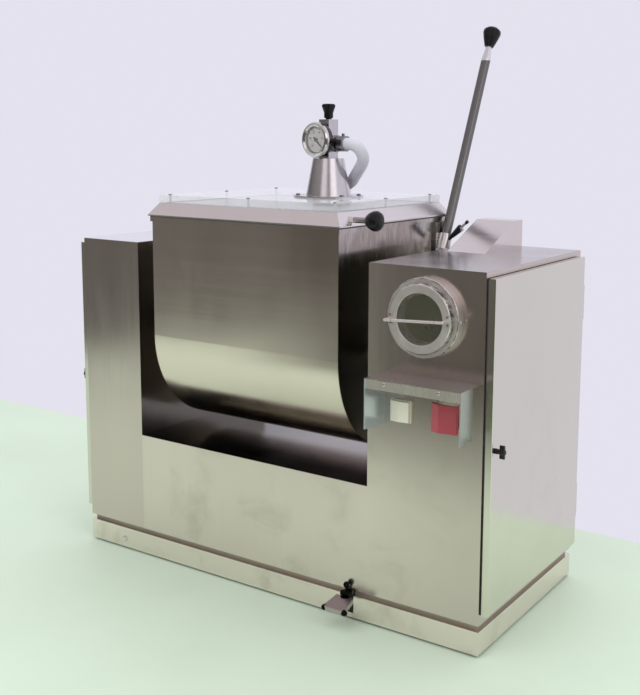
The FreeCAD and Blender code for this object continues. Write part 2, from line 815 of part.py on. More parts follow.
button_back = front + 11
button_outline = [
    (start_x - half_w, button_back), (start_x + half_w, button_back), (start_x + half_w, front - 11),
    (start_x, front - 15), (start_x - half_w, front - 11),
]
save("start_button", plate([(x, y, start_z - half_h) for x, y in button_outline], start_height, along_z))

flap_half = stop_width / 2
flap_low = stop_z - stop_height / 2
flap_high = stop_z + stop_height / 2
face_outline = [
    (stop_x - flap_half, front - 20), (stop_x - flap_half, front - 23),
    (stop_x - flap_half / 3, front - 30), (stop_x + flap_half, front - 23), (stop_x + flap_half, front - 20),
]
flap = plate([(x, y, flap_low) for x, y in face_outline], stop_height, along_z)
for cheek_x in (stop_x - flap_half, stop_x + flap_half - 2.5):
    flap = flap.fuse(box(cheek_x, cheek_x + 2.5, front - 21, front - 12, flap_low, flap_high))
    flap = flap.fuse(box(
        cheek_x, cheek_x + 2.5, front - 21, flap_pivot_y + 5, flap_pivot_z - 5, flap_pivot_z + 5,
    ))
flap = flap.fuse(rod(
    2.5, (stop_x - flap_half + 1, flap_pivot_y, flap_pivot_z), (stop_x + flap_half - 1, flap_pivot_y, flap_pivot_z),
))
save("stop_flap", flap.removeSplitter())

# Foot pedal: folded tread on an arm that reaches under the tray to the brake rod
arm_low = pedal_x - pedal_arm_width / 2
arm_top = pedal_pivot_z + 4
tread_back = front - 16
tread_front = front - 68
arm_outline = [
    (bowl_axis_y + 12, arm_top - 8), (bowl_axis_y + 12, arm_top), (pedal_pivot_y - 8, arm_top),
    (front + 14, panel_bottom - 3), (front - 6, panel_bottom - 3), (tread_back, 61),
    (tread_front + 2, 50), (tread_front + 2, 45), (tread_back, 54),
    (front - 6, panel_bottom - 12), (front + 12, panel_bottom - 12), (pedal_pivot_y - 10, arm_top - 8),
]
pedal = plate([(arm_low, y, z) for y, z in arm_outline], pedal_arm_width, along_x)
pedal = pedal.fuse(rod(
    10, (arm_low, pedal_pivot_y, pedal_pivot_z), (arm_low + pedal_arm_width, pedal_pivot_y, pedal_pivot_z),
))
tread_rise = 64.0
tread_fall = 53.0


# Folded pan with tapered sides; the inset leaves the sheet
def tread(inset):
    side = [
        (tread_back - inset / 3, tread_rise - inset), (tread_front + inset, tread_fall - inset),
        (tread_front + inset, 42 - inset), (tread_back - inset / 3, 52 - inset),
    ]
    body = plate([(pedal_x - pedal_width, y, z) for y, z in side], 2 * pedal_width, along_x)
    rear_half = pedal_rear_width / 2 - inset
    front_half = pedal_width / 2 - inset
    top = [
        (pedal_x - rear_half, tread_back + 1), (pedal_x + rear_half, tread_back + 1),
        (pedal_x + front_half, tread_front - 1), (pedal_x - front_half, tread_front - 1),
    ]
    return body.common(plate([(x, y, 0) for x, y in top], 100, along_z))


pedal = pedal.fuse(tread(0).cut(tread(3)))
ball_y = front - pedal_ball_radius - 2
for end in (-1, 1):
    pedal = pedal.fuse(Part.makeSphere(
        7, Vector(pedal_x + end * (pedal_width / 2 - 1), tread_front + 5, tread_fall - 6),
    ))
pedal = pedal.fuse(rod(3, (pedal_x, ball_y, panel_bottom - 12), (pedal_x, ball_y, panel_bottom + 14)))
pedal = pedal.fuse(Part.makeSphere(pedal_ball_radius, Vector(pedal_x, ball_y, panel_bottom + 14)))
bush_half = pedal_arm_width / 2 + 2
pedal = pedal.fuse(rod(
    7, (pedal_x - bush_half, front - 12, panel_bottom - 8), (pedal_x + bush_half, front - 12, panel_bottom - 8),
))
pedal = pedal.cut(rod(
    5 + running_gap, (arm_low - 1, pedal_pivot_y, pedal_pivot_z),
    (arm_low + pedal_arm_width + 1, pedal_pivot_y, pedal_pivot_z),
))
save("foot_pedal", pedal.removeSplitter())

bracket = rod(5, (arm_low - 8, pedal_pivot_y, pedal_pivot_z),
              (arm_low + pedal_arm_width + 8, pedal_pivot_y, pedal_pivot_z))
for cheek_x in (arm_low - 8, arm_low + pedal_arm_width + 2):
    bracket = bracket.fuse(box(
        cheek_x, cheek_x + 6, pedal_pivot_y - 16, pedal_pivot_y + 16, panel_bottom, pedal_pivot_z + 12,
    ))
save("pedal_bracket", bracket)

brake_travel = brake_shoe_gap - gasket_gap
brake_rod_foot = arm_top + 0.4
brake_rod_length = bowl_axis_z - brake_disc_radius - brake_shoe_gap - 10 - brake_rod_foot
brake_rod = turned(
    [(0, 0), (2, 0), (brake_rod_radius, 3), (brake_rod_radius, brake_rod_length), (0, brake_rod_length)],
    Vector(pedal_x, bowl_axis_y, brake_rod_foot), along_z,
)
shoe_top = bowl_axis_z - brake_disc_radius - brake_shoe_gap
shoe = box(pedal_x - 13, pedal_x + 13, bowl_axis_y - 35, bowl_axis_y + 35, shoe_top - 26, shoe_top + 7)
shoe = shoe.cut(rod(
    brake_disc_radius + 0.3, (pedal_x - 20, bowl_axis_y, bowl_axis_z - brake_travel),
    (pedal_x + 20, bowl_axis_y, bowl_axis_z - brake_travel),
))
save("brake_rod", brake_rod.fuse(shoe).removeSplitter())


# Service doors: folded pans hinged at the back edge
def door(side):
    inner = side * (right_outer + door_gap)
    outer = side * (right_outer + door_gap + door_thickness)
    x0, x1 = min(inner, outer), max(inner, outer)
    y0 = front + door_front_setback
    y1 = rear - door_rear_setback
    z0 = door_bottom
    z1 = pedestal_top - door_top_gap
    panel = box(x0, x1, y0, y1, z0, z1)
    edges = [
        edge for edge in panel.Edges
        if all(abs(vertex.X - outer) < 0.01 for vertex in edge.Vertexes)
    ]
    panel = panel.makeFillet(2.5, edges)
    skin = side * (right_outer + door_gap + door_thickness - sheet)
    panel = panel.cut(box(
        min(inner - side, skin), max(inner - side, skin), y0 + sheet, y1 - sheet, z0 + sheet, z1 - sheet,
    ))
    pin_x = side * (right_outer + door_gap + door_thickness / 2)
    pin_y = y1 + door_hinge_radius + 1
    knob_y = front + door_knob_setback
    leaves = []
    for hinge_z in (z0 + 120, z1 - 120):
        knuckle = rod(door_hinge_radius, (pin_x, pin_y, hinge_z - 15), (pin_x, pin_y, hinge_z + 15))
        strap = box(pin_x - 4, pin_x + 4, y1 - 2, pin_y, hinge_z - 15, hinge_z + 15)
        panel = panel.fuse([knuckle, strap])
        panel = panel.cut(rod(
            3 + running_gap, (pin_x, pin_y, hinge_z - 16), (pin_x, pin_y, hinge_z + 16),
        ))
        wall_x = side * right_outer
        leaf_x = side * (right_outer + 2.5)
        leaf = box(min(wall_x, leaf_x), max(wall_x, leaf_x), y1 + 1, rear, hinge_z - 45, hinge_z + 45)
        for low in (-45, 17):
            leaf = leaf.fuse(rod(
                door_hinge_radius, (pin_x, pin_y, hinge_z + low), (pin_x, pin_y, hinge_z + low + 28),
            ))
            leaf = leaf.fuse(box(
                min(wall_x, pin_x), max(wall_x, pin_x), pin_y - 3, pin_y + 3,
                hinge_z + low, hinge_z + low + 28,
            ))
        leaf = leaf.fuse(rod(3, (pin_x, pin_y, hinge_z - 45), (pin_x, pin_y, hinge_z + 45)))
        leaves.append(leaf.removeSplitter())
    panel = panel.fuse(rod(12, (inner, knob_y, door_knob_height), (skin, knob_y, door_knob_height)))
    panel = panel.cut(rod(
        5 + running_gap, (inner - side, knob_y, door_knob_height), (outer + side, knob_y, door_knob_height),
    ))
    return panel, leaves


# Wing knob with a flat cam behind the door skin
def door_knob(side):
    outer = side * (right_outer + door_gap + door_thickness)
    knob_y = front + door_knob_setback
    body = rod(5, (side * (right_outer + 0.8), knob_y, door_knob_height), (outer + side * 4, knob_y, door_knob_height))
    body = body.fuse(rod(
        9, (side * (right_outer + 0.8), knob_y - 2, door_knob_height),
        (side * (right_outer + 3.4), knob_y - 2, door_knob_height),
    ))
    size = door_knob_length
    body = body.fuse(turned(
        [(0, 0), (0.28 * size, 0), (0.24 * size, 0.38 * size), (0.34 * size, 0.52 * size),
         (0.33 * size, 0.86 * size), (0.2 * size, size), (0, size)],
        Vector(outer + side * 0.5, knob_y, door_knob_height), along_x * side,
    ))
    wing_x = outer + side * size * 0.69
    wing_reach = size * 0.53
    wing_half = size * 0.24
    wing_radius = size * 0.155
    for end in (-1, 1):
        body = body.fuse(rod(
            wing_radius, (wing_x - wing_half, knob_y, door_knob_height + end * wing_reach),
            (wing_x + wing_half, knob_y, door_knob_height + end * wing_reach),
        ))
        body = body.fuse(box(
            wing_x - wing_half, wing_x + wing_half, knob_y - wing_radius, knob_y + wing_radius,
            min(door_knob_height, door_knob_height + end * wing_reach),
            max(door_knob_height, door_knob_height + end * wing_reach),
        ))
    return body.removeSplitter()


left_door, left_leaves = door(-1)
right_door, right_leaves = door(1)
save("left_door", left_door)
save("right_door", right_door)
save("door_hinges", left_leaves + right_leaves)
save("left_door_knob", door_knob(-1))
save("right_door_knob", door_knob(1))


# Lid: sloped frame around a thick clear window
def rectangle(x0, x1, y0, y1, z):
    points = [Vector(x0, y0, z), Vector(x1, y0, z), Vector(x1, y1, z), Vector(x0, y1, z)]
    return Part.makePolygon(points + [points[0]])


lid_left = bowl_left - lid_overhang
lid_right = bowl_right + lid_overhang
lid_front = bowl_front - lid_overhang
lid_rear = bowl_rear + lid_overhang
lid_border = lid_inset + 23
slope_foot = 3.0
frame = Part.makeLoft([
    rectangle(lid_left, lid_right, lid_front, lid_rear, lid_base + slope_foot),
    rectangle(
        lid_left + lid_inset, lid_right - lid_inset, lid_front + lid_inset, lid_rear - lid_inset, lid_top,
    ),
], True)
frame = frame.fuse(box(lid_left, lid_right, lid_front, lid_rear, lid_base, lid_base + slope_foot))
frame = frame.cut(box(
    lid_left + lid_border, lid_right - lid_border, lid_front + lid_border, lid_rear - lid_border,
    lid_base - 1, lid_top + 1,
))
hinge_places = (bowl_middle - hinge_spread, bowl_middle + hinge_spread)
for place in hinge_places:
    knuckle = rod(hinge_barrel_radius, (place - 12, hinge_y, hinge_z), (place + 12, hinge_y, hinge_z))
    web = box(place - 12, place + 12, lid_rear - 2, hinge_y, lid_base, hinge_z + 6)
    frame = frame.fuse([knuckle, web])
    frame = frame.cut(rod(
        hinge_pin_radius + running_gap, (place - 13, hinge_y, hinge_z), (place + 13, hinge_y, hinge_z),
    ))

# Handle stud on the right border
handle_y = lid_front + 58
handle_z = lid_base + 16
handle_end = lid_right + 38
stud_start = lid_right - lid_inset * (handle_z - lid_base) / lid_rise - 4
frame = frame.fuse(rod(7, (stud_start, handle_y, handle_z), (handle_end + 12, handle_y, handle_z)))
save("lid_frame", frame.removeSplitter())

knob_profile = [(0, 0), (10, 0), (14, 2.5), (20, 11), (24, 21), (24, 29), (20, 36), (12, 40.5), (0, 42)]
handle_knob = turned(knob_profile, Vector(handle_end, handle_y, handle_z), along_x)
save("lid_handle_knob", handle_knob.cut(rod(
    7, (handle_end - 1, handle_y, handle_z), (handle_end + 12, handle_y, handle_z),
)))

# Bowl side of the lid hinges
hinges = []
for place in hinge_places:
    leaf = box(
        place - 30, place + 30, bowl_rear, bowl_rear + rim_width, bowl_rim_height - 72, bowl_rim_height - rim_depth,
    )
    leaf = leaf.fuse(box(
        place - 30, place + 30, bowl_rear + rim_width, hinge_y - 2, bowl_rim_height - 26, bowl_rim_height,
    ))
    leaf = leaf.cut(box(
        place - 13, place + 13, hinge_y - hinge_barrel_radius - 1, hinge_y, hinge_z - hinge_barrel_radius - 1, lid_base,
    ))
    for low in (-30, 14):
        leaf = leaf.fuse(rod(
            hinge_barrel_radius, (place + low, hinge_y, hinge_z), (place + low + 16, hinge_y, hinge_z),
        ))
    leaf = leaf.fuse(rod(hinge_pin_radius, (place - 30, hinge_y, hinge_z), (place + 30, hinge_y, hinge_z)))
    hinges.append(leaf.removeSplitter())
save("lid_hinges", hinges)

# Clear window with its border screws
window_left = lid_left + lid_inset
window_right = lid_right - lid_inset
window_front = lid_front + lid_inset
window_rear = lid_rear - lid_inset
window = box(window_left, window_right, window_front, window_rear, lid_top, window_top)
window = window.cut(rod(
    turret_top_radius, (turret_x, turret_y, lid_top - 1), (turret_x, turret_y, window_top + 1),
))
screw_inset = 20.0
middle_x = (window_left + window_right) / 2
middle_y = (window_front + window_rear) / 2
lid_screws = []
for spot_x in (window_left + screw_inset, middle_x, window_right - screw_inset):
    for spot_y in (window_front + screw_inset, middle_y, window_rear - screw_inset):
        if (spot_x, spot_y) != (middle_x, middle_y):
            window = window.cut(rod(3, (spot_x, spot_y, lid_top - 1), (spot_x, spot_y, window_top + 1)))
            lid_screws.append(cap_screw(
                5, 2, Vector(spot_x, spot_y, window_top), along_z, shank=window_thickness,
            ))
save("lid_window", window)
for number in range(6):
    angle = math.radians(60 * number + 30)
    lid_screws.append(cap_screw(6, 4, Vector(
        turret_x + (turret_flange_radius - 12) * math.cos(angle),
        turret_y + (turret_flange_radius - 12) * math.sin(angle),
        window_top + turret_flange_thickness,
    ), along_z))
save("lid_screws", lid_screws)

# Vacuum turret: flanged cone, valve block, air valve knob
foot = turret_flange_thickness
save("turret_cone", turned(
    [(turret_top_radius, 0), (turret_flange_radius, 0), (turret_flange_radius, foot),
     (turret_base_radius, foot), (turret_top_radius, foot + turret_height), (0, foot + turret_height),
     (0, foot + turret_height - 4), (turret_top_radius - 4, foot + turret_height - 4),
     (turret_base_radius - 4, foot)],
    Vector(turret_x, turret_y, window_top), along_z,
))
half = valve_side / 2


# Block, gauge and hose union stand turned on the cone
def on_head(shape):
    shape.rotate(Vector(turret_x, turret_y, 0), along_z, head_turn)
    return shape


valve = box(turret_x - half, turret_x + half, turret_y - half, turret_y + half, valve_base, valve_top)
save("valve_block", on_head(valve))

knob = turned(
    [(0, 0.5), (8, 0.5), (8, 3), (12, 4), (12, 17), (valve_knob_radius, valve_knob_height - 7),
     (valve_knob_radius, valve_knob_height - 3), (valve_knob_radius - 3.5, valve_knob_height),
     (0, valve_knob_height)],
    Vector(turret_x, turret_y, valve_top), along_z,
)
for number in range(6):
    angle = math.radians(60 * number)
    groove_x = turret_x + (valve_knob_radius + 3) * math.cos(angle)
    groove_y = turret_y + (valve_knob_radius + 3) * math.sin(angle)
    knob = knob.cut(rod(
        5, (groove_x, groove_y, valve_top + 4), (groove_x, groove_y, valve_top + valve_knob_height + 1),
    ))
save("valve_knob", knob)

# Vacuum gauge on the front of the valve block
gauge_z = valve_base + gauge_height
gauge_back = turret_y - half
stem_length = gauge_reach - gauge_depth
gauge_origin = Vector(turret_x, gauge_back, gauge_z)
case_back = stem_length
case_front = gauge_reach
dial_radius = gauge_radius - gauge_bezel
save("gauge_case", on_head(turned(
    [(0, 0), (9, 0), (9, case_back), (gauge_radius - 5, case_back), (gauge_radius - 3, case_back + 3),
     (gauge_radius - 3, case_front - 12), (gauge_radius, case_front - 11), (gauge_radius, case_front - 5),
     (gauge_radius - 3, case_front - 1), (gauge_radius - 7, case_front), (dial_radius, case_front - 3),
     (dial_radius, case_front - 12), (0, case_front - 12)],
    gauge_origin, to_front,
)))
save("gauge_dial", on_head(rod(
    dial_radius - 0.3,
    (turret_x, gauge_back - case_front + 12, gauge_z), (turret_x, gauge_back - case_front + 10.5, gauge_z),
)))
needle_y = gauge_back - case_front + 7
needle_angle = -42.0
needle_outline = [(-10, -2.2), (6, -2.2), (30, -0.8), (30, 0.8), (6, 2.2), (-10, 2.2)]
needle = plate([(x, 0, z) for x, z in needle_outline], 1.2, along_y)
needle = needle.fuse(rod(4.5, (0, -0.6, 0), (0, 3.2, 0)))
needle.rotate(Vector(0, 0, 0), along_y, -needle_angle)
needle.translate(Vector(turret_x, needle_y, gauge_z))
save("gauge_needle", on_head(needle.removeSplitter()))
save("gauge_glass", on_head(rod(
    dial_radius - 0.3,
    (turret_x, gauge_back - case_front + 5.5, gauge_z), (turret_x, gauge_back - case_front + 3.5, gauge_z),
)))

# Hose fittings: union on the valve block and port on the lid's rear border
fitting_z = valve_base + fitting_height
fitting = turned(
    [(0, 0), (14, 0), (14, 5), (21, 6), (22, 8), (22, 15), (21, 17), (14, 18), (14, 22), (20, 23),
     (20, fitting_length), (0, fitting_length)],
    Vector(turret_x + half, turret_y, fitting_z), along_x,
)
collar_x = turret_x + half + fitting_length - 12
fitting = fitting.fuse(rod(4, (collar_x, turret_y, fitting_z), (collar_x, turret_y, fitting_z + 26)))
fitting = on_head(fitting.removeSplitter())
turn = math.radians(head_turn)
union_axis = Vector(math.cos(turn), math.sin(turn), 0)
hose_start = Vector(turret_x, turret_y, fitting_z) + union_axis * (half + fitting_length)
port_x = bowl_middle - 52
port_z = window_top + 19
hose_end = Vector(port_x, lid_rear - lid_inset - 14, port_z)
port = ring(17.5, hose_radius - 3, (port_x, hose_end.y, port_z), (port_x, hose_end.y + 18, port_z))
port = port.fuse(box(
    port_x - 19, port_x + 19, hose_end.y + 16, lid_rear + 4, lid_base + 12, port_z + 19,
))
port = port.cut(frame.fuse(window))
save("hose_fittings", [fitting, port.cut(rod(
    hose_radius - 3, (port_x, hose_end.y - 1, port_z), (port_x, hose_end.y + 10, port_z),
))])


# Vacuum hose: straight runs joined by tangent arcs
def hose_path(points):
    edges = []
    last = points[0]
    for before, corner, after in zip(points, points[1:], points[2:]):
        into = (corner - before)
        away = (after - corner)
        turn = into.getAngle(away)
        cut = 0.45 * min(into.Length, away.Length)
        start = corner - into.normalize() * cut
        end = corner + away.normalize() * cut
        radius = cut / math.tan(turn / 2)
        print("hose bend radius", round(radius, 1), "turn", round(math.degrees(turn)))
        bisector = (start - corner) + (end - corner)
        reach = math.hypot(cut, radius) - radius
        middle = corner + bisector.normalize() * reach
        edges.append(Part.makeLine(last, start))
        edges.append(Part.Arc(start, middle, end).toShape())
        last = end
    edges.append(Part.makeLine(last, points[-1]))
    return Part.Wire(edges)


hose_bends = [
    (100.5, -8.5, 127.5), (107, 1, 110), (101, 13, 92), (60, 43, 61), (22, 76, 35),
    (-24, 102, 20), (-64, 128, 17.5), (-98, 152, 17), (-139, 186, 18), (-154, 222, 19),
]
turret_foot = Vector(turret_x, turret_y, window_top)
hose_points = [hose_start, hose_start + union_axis * 19.5]
hose_points += [turret_foot + Vector(*bend) for bend in hose_bends] + [hose_end]
path = hose_path(hose_points)
section = Part.Wire(Part.makeCircle(hose_radius, hose_start, union_axis))
hose = path.makePipeShell([section], True, True)
print("hose length", round(path.Length, 1), "volume ratio",
      round(hose.Volume / (math.pi * hose_radius ** 2 * path.Length), 4))
save("vacuum_hose", hose)

# Tilt lever clamped to the bowl's rear right corner
lean = math.radians(lever_lean)
lever_axis = Vector(0, math.sin(lean), math.cos(lean))
lever_foot = Vector(
    bowl_right + lever_offset, bowl_axis_y + lever_foot_y, bowl_rim_height - lever_foot_drop,
)
lever_tip = lever_foot + lever_axis * lever_length
socket_low = bowl_rim_height - 94
socket_high = bowl_rim_height - 12
socket_y = bowl_rear - 22
socket = box(bowl_right, bowl_right + 8, bowl_rear - 71, bowl_rear - 4, socket_low, socket_high)
socket = socket.fuse(rod(13, (bowl_right + 13, socket_y, socket_low), (bowl_right + 13, socket_y, socket_high)))
socket = socket.fuse(rod(
    sleeve_radius, tuple(lever_foot - lever_axis * sleeve_below), tuple(lever_foot + lever_axis * sleeve_above),
))
socket = socket.cut(rod(
    lever_radius + 0.02, tuple(lever_foot), tuple(lever_foot + lever_axis * (sleeve_above + 60)),
))
clamp_angle = math.radians(clamp_rise)
clamp_axis = Vector(math.cos(clamp_angle), 0, math.sin(clamp_angle))
clamp_base = lever_foot + lever_axis * clamp_place + clamp_axis * clamp_reach
socket = socket.cut(rod(clamp_bore, tuple(clamp_base), tuple(clamp_base + clamp_axis * 30)))
save("lever_socket", socket.removeSplitter())
save("lever_tube", turned(
    [(0, 0), (lever_radius, 0), (lever_radius, lever_length - lever_ferrule),
     (0.6 * lever_radius, lever_length), (0, lever_length)],
    lever_foot, lever_axis,
))
knob_shares = [(0, 0), (0.48, 0), (0.54, 0.04), (0.84, 0.45), (1, 0.72), (0.98, 0.85), (0.7, 0.97), (0, 1)]
save("lever_knob", turned(
    [(radius * lever_knob_radius, height * lever_knob_length) for radius, height in knob_shares],
    lever_tip, lever_axis,
))
save("lever_clamp", turned(
    [(0, 0), (4.9, 0), (4.9, 11), (6, 12), (10, 48), (9, 51), (3.5, 52), (3.5, 68), (4.5, 69), (4.5, 76), (0, 76)],
    clamp_base, clamp_axis,
))
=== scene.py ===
import bpy
import bmesh
import math
from mathutils import Matrix, Vector


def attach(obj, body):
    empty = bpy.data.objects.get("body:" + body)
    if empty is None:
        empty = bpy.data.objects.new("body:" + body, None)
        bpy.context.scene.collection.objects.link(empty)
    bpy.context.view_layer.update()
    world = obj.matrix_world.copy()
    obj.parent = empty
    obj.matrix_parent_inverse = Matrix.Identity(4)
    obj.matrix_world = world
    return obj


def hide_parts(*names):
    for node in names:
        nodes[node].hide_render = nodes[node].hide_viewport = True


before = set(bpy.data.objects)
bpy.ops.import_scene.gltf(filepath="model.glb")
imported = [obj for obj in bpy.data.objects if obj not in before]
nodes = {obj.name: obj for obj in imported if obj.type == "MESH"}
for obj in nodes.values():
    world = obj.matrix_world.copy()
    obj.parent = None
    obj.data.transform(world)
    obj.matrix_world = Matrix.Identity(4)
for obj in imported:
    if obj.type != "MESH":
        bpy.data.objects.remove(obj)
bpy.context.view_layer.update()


def linkObject(name, data):
    made = bpy.data.objects.new(name, data)
    bpy.context.scene.collection.objects.link(made)
    return made


# Camera, where the photograph was taken from

camera = {
    "place": (1.6039, -2.2594, 1.1798),
    "heading": 33.23,        # degrees, turned left of straight ahead
    "down": 8.01,
    "roll": 0.41,
    "focal": 1025.7,         # pixels
    "middle": (360, 280),    # pixel of the optical axis
    "image": (640, 695),     # pixels
    "sensor": 36.0,          # millimetres
}


def addCamera(look):
    data = bpy.data.cameras.new("camera")
    body = linkObject("camera", data)
    wide, tall = look["image"]
    across, high = look["middle"]
    data.sensor_fit = "AUTO"
    data.sensor_width = look["sensor"]
    data.lens = look["focal"] * look["sensor"] / max(wide, tall)
    data.shift_x = (wide / 2 - across) / max(wide, tall)
    data.shift_y = (high - tall / 2) / max(wide, tall)
    turn = Matrix.Rotation(math.radians(look["heading"]), 4, "Z")
    tip = Matrix.Rotation(math.radians(90 - look["down"]), 4, "X")
    lean = Matrix.Rotation(math.radians(look["roll"]), 4, "Z")
    body.matrix_world = Matrix.Translation(look["place"]) @ turn @ tip @ lean
    bpy.context.scene.camera = body


addCamera(camera)
print("camera set")


# Shader maths

class Wire:  # one output socket; sums and products of wires add Math nodes
    def __init__(self, finish, socket):
        self.finish = finish
        self.socket = socket

    def maths(self, operation, first, second=0.0):
        return self.finish.node("ShaderNodeMath", {"operation": operation}, {0: first, 1: second})

    def __add__(self, other):
        return self.maths("ADD", self, other)

    def __radd__(self, other):
        return self.maths("ADD", other, self)

    def __sub__(self, other):
        return self.maths("SUBTRACT", self, other)

    def __rsub__(self, other):
        return self.maths("SUBTRACT", other, self)

    def __mul__(self, other):
        return self.maths("MULTIPLY", self, other)

    def __rmul__(self, other):
        return self.maths("MULTIPLY", other, self)

    def __pow__(self, other):
        return self.maths("POWER", self, other)

    def __rpow__(self, other):
        return self.maths("POWER", other, self)

    def __abs__(self):
        return self.maths("ABSOLUTE", self)

    def above(self, level):
        return self.maths("GREATER_THAN", self, level)

    def below(self, level):
        return self.maths("LESS_THAN", self, level)

    def most(self, other):  # the greater of the two
        return self.maths("MAXIMUM", self, other)

    def least(self, other):  # the smaller of the two
        return self.maths("MINIMUM", self, other)


class Finish:  # one material with its Principled shader
    def __init__(self, name, **fixed):
        self.start(bpy.data.materials.new(name), "ShaderNodeOutputMaterial")
        self.shader = self.tree.nodes.new("ShaderNodeBsdfPrincipled")
        self.surface = Wire(self, self.shader.outputs[0])
        self.show(self.surface)
        self.put(**fixed)

    def start(self, material, output):
        self.material = material
        self.material.use_nodes = True
        self.tree = self.material.node_tree
        self.tree.nodes.clear()
        self.output = self.tree.nodes.new(output)

    def show(self, wire):
        self.feed(self.output.inputs["Surface"], wire)

    def node(self, kind, settings=None, values=None, out=0):
        made = self.tree.nodes.new(kind)
        for key, value in (settings or {}).items():
            setattr(made, key, value)
        for key, value in (values or {}).items():
            self.feed(made.inputs[key], value)
        return Wire(self, made.outputs[out])

    def feed(self, socket, value):
        if isinstance(value, Wire):
            self.tree.links.new(value.socket, socket)
        elif isinstance(value, tuple) and socket.type == "RGBA":
            socket.default_value = (*value, 1.0)
        else:
            socket.default_value = value

    def put(self, **values):
        for key, value in values.items():
            self.feed(self.shader.inputs[key.replace("_", " ")], value)

    def coords(self):
        return self.node("ShaderNodeTexCoord", out="Object")

    def along(self, axis):
        return self.node("ShaderNodeSeparateXYZ", {}, {0: self.coords()}, out=axis)

    def away(self, point):
        distance = {"operation": "DISTANCE"}
        return self.node("ShaderNodeVectorMath", distance, {0: self.coords(), 1: point}, out="Value")

    def noise(self, scale, stretch=(1, 1, 1), detail=2.0, rough=0.5, distortion=0.0):
        where = self.node("ShaderNodeMapping", {}, {"Vector": self.coords(), "Scale": stretch})
        return self.node("ShaderNodeTexNoise", {}, {
            "Vector": where, "Scale": scale, "Detail": detail, "Roughness": rough, "Distortion": distortion,
        })

    def spread(self, wire, low, high, newLow=0.0, newHigh=1.0, kind="LINEAR"):
        ends = {0: wire, 1: low, 2: high, 3: newLow, 4: newHigh}
        return self.node("ShaderNodeMapRange", {"interpolation_type": kind}, ends)

    def vary(self, wire, level, ends, shares):  # from one share of the level to the other
        return self.spread(wire, *ends, *(level * share for share in shares))

    def blend(self, share, first, second):
        return self.node("ShaderNodeMix", {"data_type": "RGBA"}, {0: share, 6: first, 7: second}, out=2)

    def beyond(self, axis, level, tone, colour):  # the colour takes over past the level
        return self.blend(self.along(axis).above(level), tone, colour)

    def bump(self, height, strength, distance):
        return self.node("ShaderNodeBump", {}, {"Height": height, "Strength": strength, "Distance": distance})


def shade(colour, share):
    return tuple(part * share for part in colour)


# Finishes. A pair called ends holds the noise values that count as nothing and as all.
# A finish's roughness runs between its own times the two shares.

steelLook = {
    "ior": (2.4, 1.5),       # of whole metal, and of metal under a film of dirt
    "grain": 420.0,          # streaks a metre across the grain
    "wideGrain": 67.2,
    "length": 0.010,         # how much slower the grain changes along itself
    "fineShare": 0.6,        # of the narrow streaks among all streaks
    "clouds": 2.6,
    "smears": 5.0,
    "smearStretch": (1.0, 1.0, 0.35),
    "cloudShare": 0.5,       # of the clouds among clouds and smears
    "streakShare": 0.4,      # of the streaks in the tone
    "toneEnds": (0.38, 0.62),
    "spots": 7.0,
    "spotEnds": (0.52, 0.74),
    "spotHeights": (0.05, 0.85, 1.0, 0.15),      # a low and a high place, and the share of spots at each
    "spotTint": (0.42, 0.36, 0.27),
    "roughEnds": (0.35, 0.65),
    "roughShares": (0.85, 1.2),
    "streakRough": 0.03,
    "waves": 4.0,            # slow dents of thin sheet
    "bump": (0.5, 0.00002),  # strength, and depth in metres
}


def brushedSteel(
    name, colour, rough, grainAxis=2, darker=0.93, stain=0.0, metal=1.0, wavy=0.0, marks=None,
):
    look = steelLook
    whole, filmed = look["ior"]
    finish = Finish(name, Metallic=metal, IOR=whole if metal == 1.0 else filmed)
    stretch = tuple(look["length"] if axis == grainAxis else 1.0 for axis in range(3))
    fine = finish.noise(look["grain"], stretch, detail=3.0, rough=0.7)
    coarse = finish.noise(look["wideGrain"], stretch, detail=2.0)
    clouds = finish.noise(look["clouds"], detail=3.0, rough=0.55)
    smears = finish.noise(look["smears"], look["smearStretch"], detail=4.0, rough=0.55, distortion=0.8)
    streaks = fine * look["fineShare"] + coarse * (1 - look["fineShare"])
    streaks = finish.spread(streaks, *look["toneEnds"])
    cloudy = clouds * look["cloudShare"] + smears * (1 - look["cloudShare"])
    cloudy = finish.spread(cloudy, *look["toneEnds"])
    light = streaks * look["streakShare"] + cloudy * (1 - look["streakShare"])
    tone = finish.blend(light, shade(colour, darker), colour)
    if stain > 0:
        low = finish.spread(finish.along(2), *look["spotHeights"])
        spots = finish.noise(look["spots"], detail=6.0, rough=0.62, distortion=0.4)
        tone = finish.blend(low * finish.spread(spots, *look["spotEnds"]) * stain, tone, look["spotTint"])
    if marks:
        tone = marks(finish, tone)
    roughness = finish.vary(smears, rough, look["roughEnds"], look["roughShares"])
    finish.put(Base_Color=tone, Roughness=roughness + streaks * look["streakRough"])
    height = fine + coarse
    if wavy > 0:
        height = height + finish.noise(look["waves"], detail=1.0) * wavy
    finish.put(Normal=finish.bump(height, *look["bump"]))
    return finish.material


polishLook = {
    "haze": 60.0,
    "hazeEnds": (0.3, 0.7),
    "hazeTone": 0.9,         # the darkest haze, as a share of the colour
    "roughShares": (0.7, 1.4),
    "bump": (0.1, 0.00002),
}


def polishedSteel(name, colour, rough, marks=None):
    look = polishLook
    finish = Finish(name, Metallic=1.0, IOR=2.6)
    haze = finish.noise(look["haze"], detail=4.0, rough=0.6)
    tone = finish.blend(finish.spread(haze, *look["hazeEnds"]), shade(colour, look["hazeTone"]), colour)
    if marks:
        tone = marks(finish, tone)
    finish.put(Base_Color=tone, Roughness=finish.vary(haze, rough, look["hazeEnds"], look["roughShares"]))
    finish.put(Normal=finish.bump(haze, *look["bump"]))
    return finish.material


